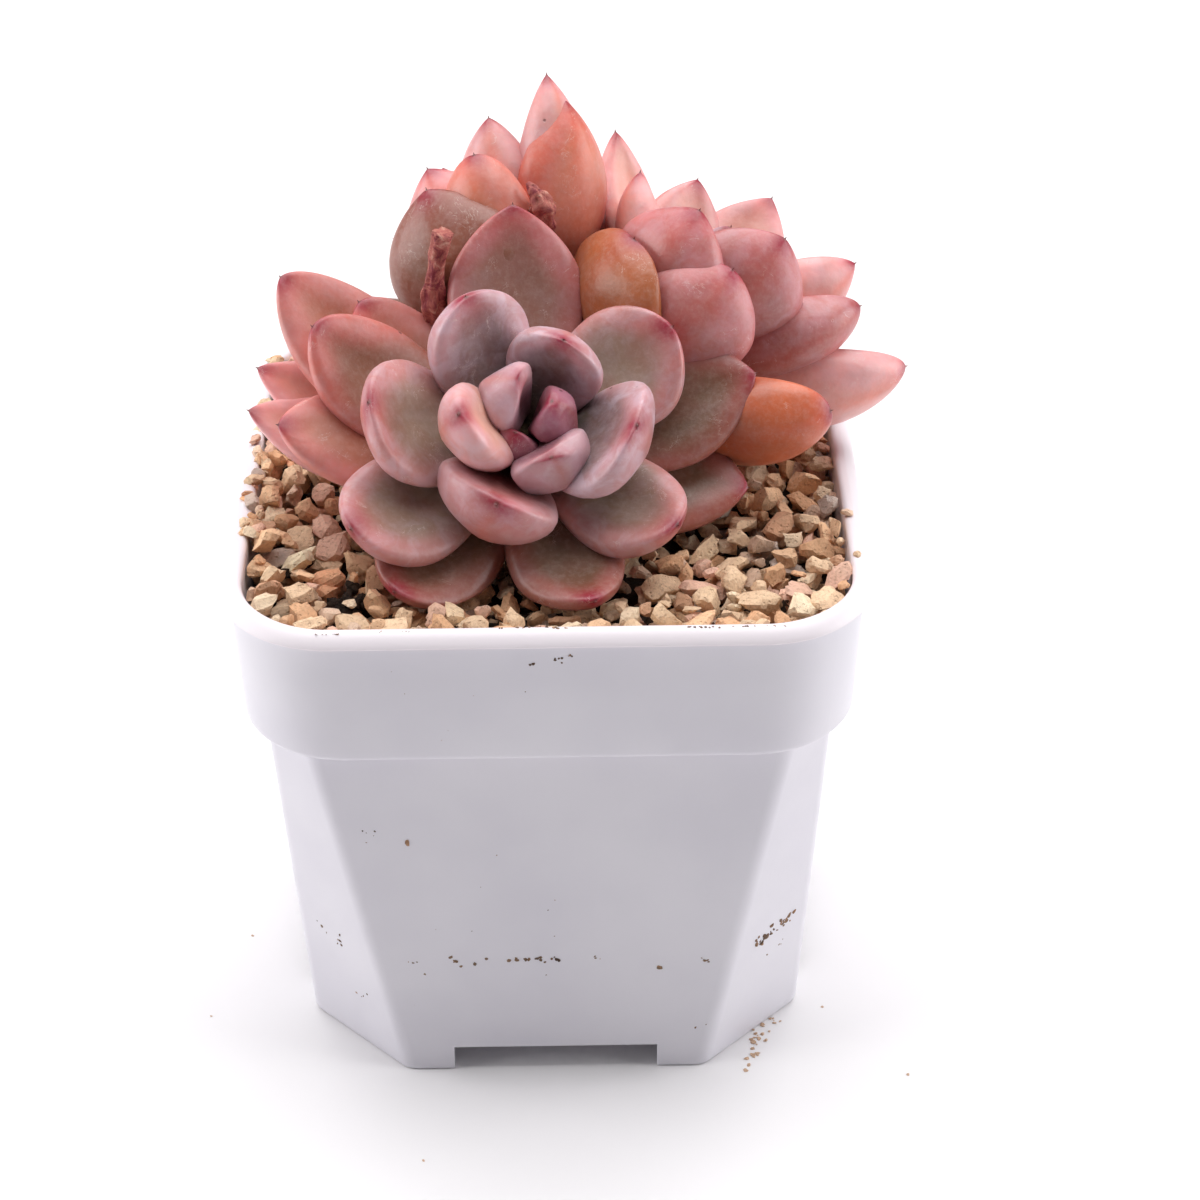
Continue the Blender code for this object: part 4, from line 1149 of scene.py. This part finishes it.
# Splash mark: face, place across it and up it, how far the crumbs spread each way, how many and how
# big. On the lip, the second place is how far in from its middle.
MARKS = (
    ("front", -10.5, 18.0, 2.6, 0.7, 8, 0.22),
    ("front", -2.6, 18.2, 3.2, 0.4, 15, 0.26),
    ("front", 5.6, 18.2, 0.8, 0.3, 3, 0.16),
    ("front", 12.9, 16.6, 0.3, 0.2, 2, 0.28),
    ("front", 18.6, 17.8, 0.7, 0.4, 5, 0.24),
    ("front", -17.6, 18.0, 1.6, 0.2, 3, 0.16),
    ("front", -17.0, 36.8, 0.1, 0.1, 2, 0.42),
    ("front", -21.5, 38.0, 0.9, 1.6, 5, 0.14),
    ("front", -15.6, 15.9, 0.2, 0.2, 1, 0.20),
    ("front", 17.8, 6.2, 1.2, 0.8, 3, 0.13),
    ("front", -6.0, 27.0, 9.0, 8.0, 8, 0.09),
    ("left chamfer", -1.5, 18.3, 2.6, 0.9, 10, 0.22),
    ("left chamfer", 2.0, 9.5, 2.5, 1.5, 4, 0.14),
    ("right chamfer", 0.6, 18.2, 3.6, 0.8, 26, 0.30),
    ("right chamfer", -1.6, 17.2, 1.0, 0.5, 9, 0.34),
    ("right chamfer", 1.0, 14.2, 2.0, 0.6, 4, 0.16),
    ("collar", -2.0, 64.6, 0.5, 0.3, 3, 0.20),
    ("collar", 0.9, 64.9, 0.7, 0.6, 5, 0.24),
    ("collar", 2.6, 65.7, 0.2, 0.2, 2, 0.22),
    ("collar", -12.0, 58.0, 12.0, 5.0, 6, 0.08),
    ("lip", 20.5, 0.0, 6.0, 0.10, 22, 0.20),
    ("lip", -1.0, 0.3, 4.5, 0.25, 14, 0.20),
    ("lip", -24.5, -0.35, 1.6, 0.12, 10, 0.11),
    ("lip", -17.0, -0.1, 2.0, 0.10, 5, 0.10),
    ("back", 4.0, 18.0, 14.0, 0.7, 22, 0.22),
    ("left", 3.0, 18.2, 11.0, 0.7, 16, 0.20),
    ("right", -3.0, 18.0, 12.0, 0.7, 18, 0.22),
)


FACE_TURNS = {
    "front": 0,
    "collar": 0,
    "lip": 0,
    "left": -90,
    "left chamfer": -45,
    "right": 90,
    "right chamfer": 45,
    "back": 180,
}
LIP_MIDDLE = 0.9
DIRT_TONES = np.array([paint(74, 58, 52), paint(104, 78, 62), paint(150, 112, 84), paint(58, 50, 50)])
DIRT_SHARES = [0.4, 0.3, 0.12, 0.18]


def on_pot(face, across, up):
    """Places on the pot's outside and the way it faces, for arrays of places across and up."""
    angle = math.radians(FACE_TURNS[face])
    outward = np.array([math.sin(angle), -math.cos(angle), 0.0])
    sideways = np.array([math.cos(angle), math.sin(angle), 0.0])
    normal = outward
    half, cut = tub_size(up)
    if face == "lip":
        half = INNER_HALF + LIP_MIDDLE - up
        up = np.full(len(across), POT_HEIGHT - 0.02)
        normal = np.array([0.0, 0.0, 1.0])
    elif face == "collar":
        half = collar_half(up)
    elif "chamfer" in face:
        half = (2.0 * half - cut) / math.sqrt(2.0)
    spots = np.outer(half, outward) + np.outer(across, sideways) + POT_AXIS
    spots[:, 2] = up
    return spots, normal


def make_dirt():
    """Crumbs of soil stuck along the splash line and here and there on the pot."""
    random = np.random.default_rng(12)
    parts, tints = [], []
    for face, across, up, wide, tall, count, size in MARKS:
        x = across + wide * random.uniform(-1.0, 1.0, count)
        z = up + tall * random.normal(size=count) * 0.6
        radii = size * random.uniform(0.5, 1.25, count)
        spots, normal = on_pot(face, x, z)
        points, faces, each = pebbles(spots, radii, random, planes=4, flat=1.0)
        depth = (points - np.repeat(spots, each, axis=0)) @ normal
        parts.append((points - np.outer(0.6 * depth, normal), faces.tolist()))
        tints.append(np.repeat(DIRT_TONES[random.choice(4, count, p=DIRT_SHARES)], each, axis=0))
    points, faces = joined(parts)
    make("splashed_soil", points, faces, CLAY, "potting_mix", sharp=28.0, colours=np.vstack(tints))


def make_floor_dust():
    """Tan dust rubbed off by the right foot, and a few stray crumbs, which stay on the floor."""
    random = np.random.default_rng(5)
    drift = np.array([[0.7, 0.07], [1.19, 3.4]])
    near = np.array([26.0, -25.0]) + random.normal(size=(34, 2)) @ drift
    far = np.array([[-44.0, -20.0], [43.7, -33.0], [-16.0, -47.0], [34.0, -20.0], [-40.0, -4.0]])
    spots = np.vstack([near, far])
    centres = np.hstack([spots, np.full((len(spots), 1), 0.05)]) + POT_AXIS
    points, faces, _ = pebbles(centres, random.uniform(0.12, 0.42, len(spots)), random, flat=0.25)
    points[:, 2] = np.maximum(points[:, 2], 0.0)
    tint = np.tile(paint(214, 182, 156), (len(points), 1))
    build("floor_dust", points, faces.tolist(), CLAY, smooth=False, colours=tint)


# Floor, light and camera ------------------------------------------------------------------------


FLOOR_HALF = 3000.0

# The camera: degrees round from the front, above level and of roll, its distance from what it aims
# at, how far that is to the right of the pot's axis and above the floor, and the lens.
CAMERA_TURN = -0.605
CAMERA_RISE = 32.891
CAMERA_ROLL = 0.452
CAMERA_DISTANCE = 373.766
AIM_RIGHT = 6.249
AIM_HEIGHT = 49.556
LENS = 90.14


def make_floor():
    """A wide white floor with a faint uneven tone."""
    finish = Finish("white floor")
    grain = finish.noise(12.0, 2.0)
    finish.set(
        Base_Color=finish.mix(grain, (0.90, 0.88, 0.89), (0.93, 0.91, 0.92)),
        Roughness=0.6,
    )
    corners = np.array([[-1.0, -1.0, 0.0], [1.0, -1.0, 0.0], [1.0, 1.0, 0.0], [-1.0, 1.0, 0.0]])
    build("floor", corners * FLOOR_HALF, [[0, 1, 2, 3]], finish.material, smooth=False)


def softbox(name, place, aim, width, height, watts):
    """A lit rectangle, placed and aimed in metres."""
    light = bpy.data.lights.new(name, "AREA")
    light.shape = "RECTANGLE"
    light.size = width
    light.size_y = height
    light.energy = watts
    lamp = bpy.data.objects.new(name, light)
    lamp.location = place
    direction = Vector(aim) - Vector(place)
    lamp.rotation_euler = direction.to_track_quat("-Z", "Y").to_euler()
    bpy.context.scene.collection.objects.link(lamp)


def make_light():
    """One broad box overhead, behind the pot, and one on each side, in a nearly dark room."""
    world = bpy.data.worlds.new("studio")
    bpy.context.scene.world = world
    world.use_nodes = True
    background = world.node_tree.nodes["Background"]
    background.inputs["Color"].default_value = (0.93, 0.92, 1.0, 1.0)
    background.inputs["Strength"].default_value = 0.05
    softbox("top box", (0.0, 0.50, 1.1), (0.0, 0.50, 0.0), 1.6, 1.6, 25.0)
    for name, side in (("left box", -1.0), ("right box", 1.0)):
        softbox(name, (0.9 * side, -0.03, 0.35), (0.0, 0.0, 0.06), 0.8, 0.6, 5.4)


def make_camera():
    """A long lens a little above the plant, aimed at the middle of pot and plant together."""
    turn, rise, roll = np.radians([CAMERA_TURN, CAMERA_RISE, CAMERA_ROLL])
    level = math.cos(rise)
    right = np.array([math.cos(turn), math.sin(turn), 0.0])
    back = np.array([math.sin(turn) * level, -math.cos(turn) * level, math.sin(rise)])
    up = np.cross(back, right)
    aim = POT_AXIS + AIM_RIGHT * right + np.array([0.0, 0.0, AIM_HEIGHT])
    rolled_right = math.cos(roll) * right - math.sin(roll) * up
    rolled_up = math.sin(roll) * right + math.cos(roll) * up
    data = bpy.data.cameras.new("camera")
    data.lens = LENS
    data.sensor_width = 36.0
    data.clip_start = 0.01
    camera = bpy.data.objects.new("camera", data)
    axes = Matrix(np.stack([rolled_right, rolled_up, back], axis=1).tolist())
    place = Vector((aim + CAMERA_DISTANCE * back) * MM)
    camera.matrix_world = Matrix.Translation(place) @ axes.to_4x4()
    bpy.context.scene.collection.objects.link(camera)
    bpy.context.scene.camera = camera


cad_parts["potting_mix"].data.materials.clear()
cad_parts["potting_mix"].data.materials.append(SOIL)
make_pot()
make_soil()
make_crumbs()
make_grit(make_leaves())
make_stem()
make_withered()
make_dirt()
make_floor_dust()
make_floor()
make_light()
make_camera()
bpy.context.scene.view_settings.view_transform = "Standard"
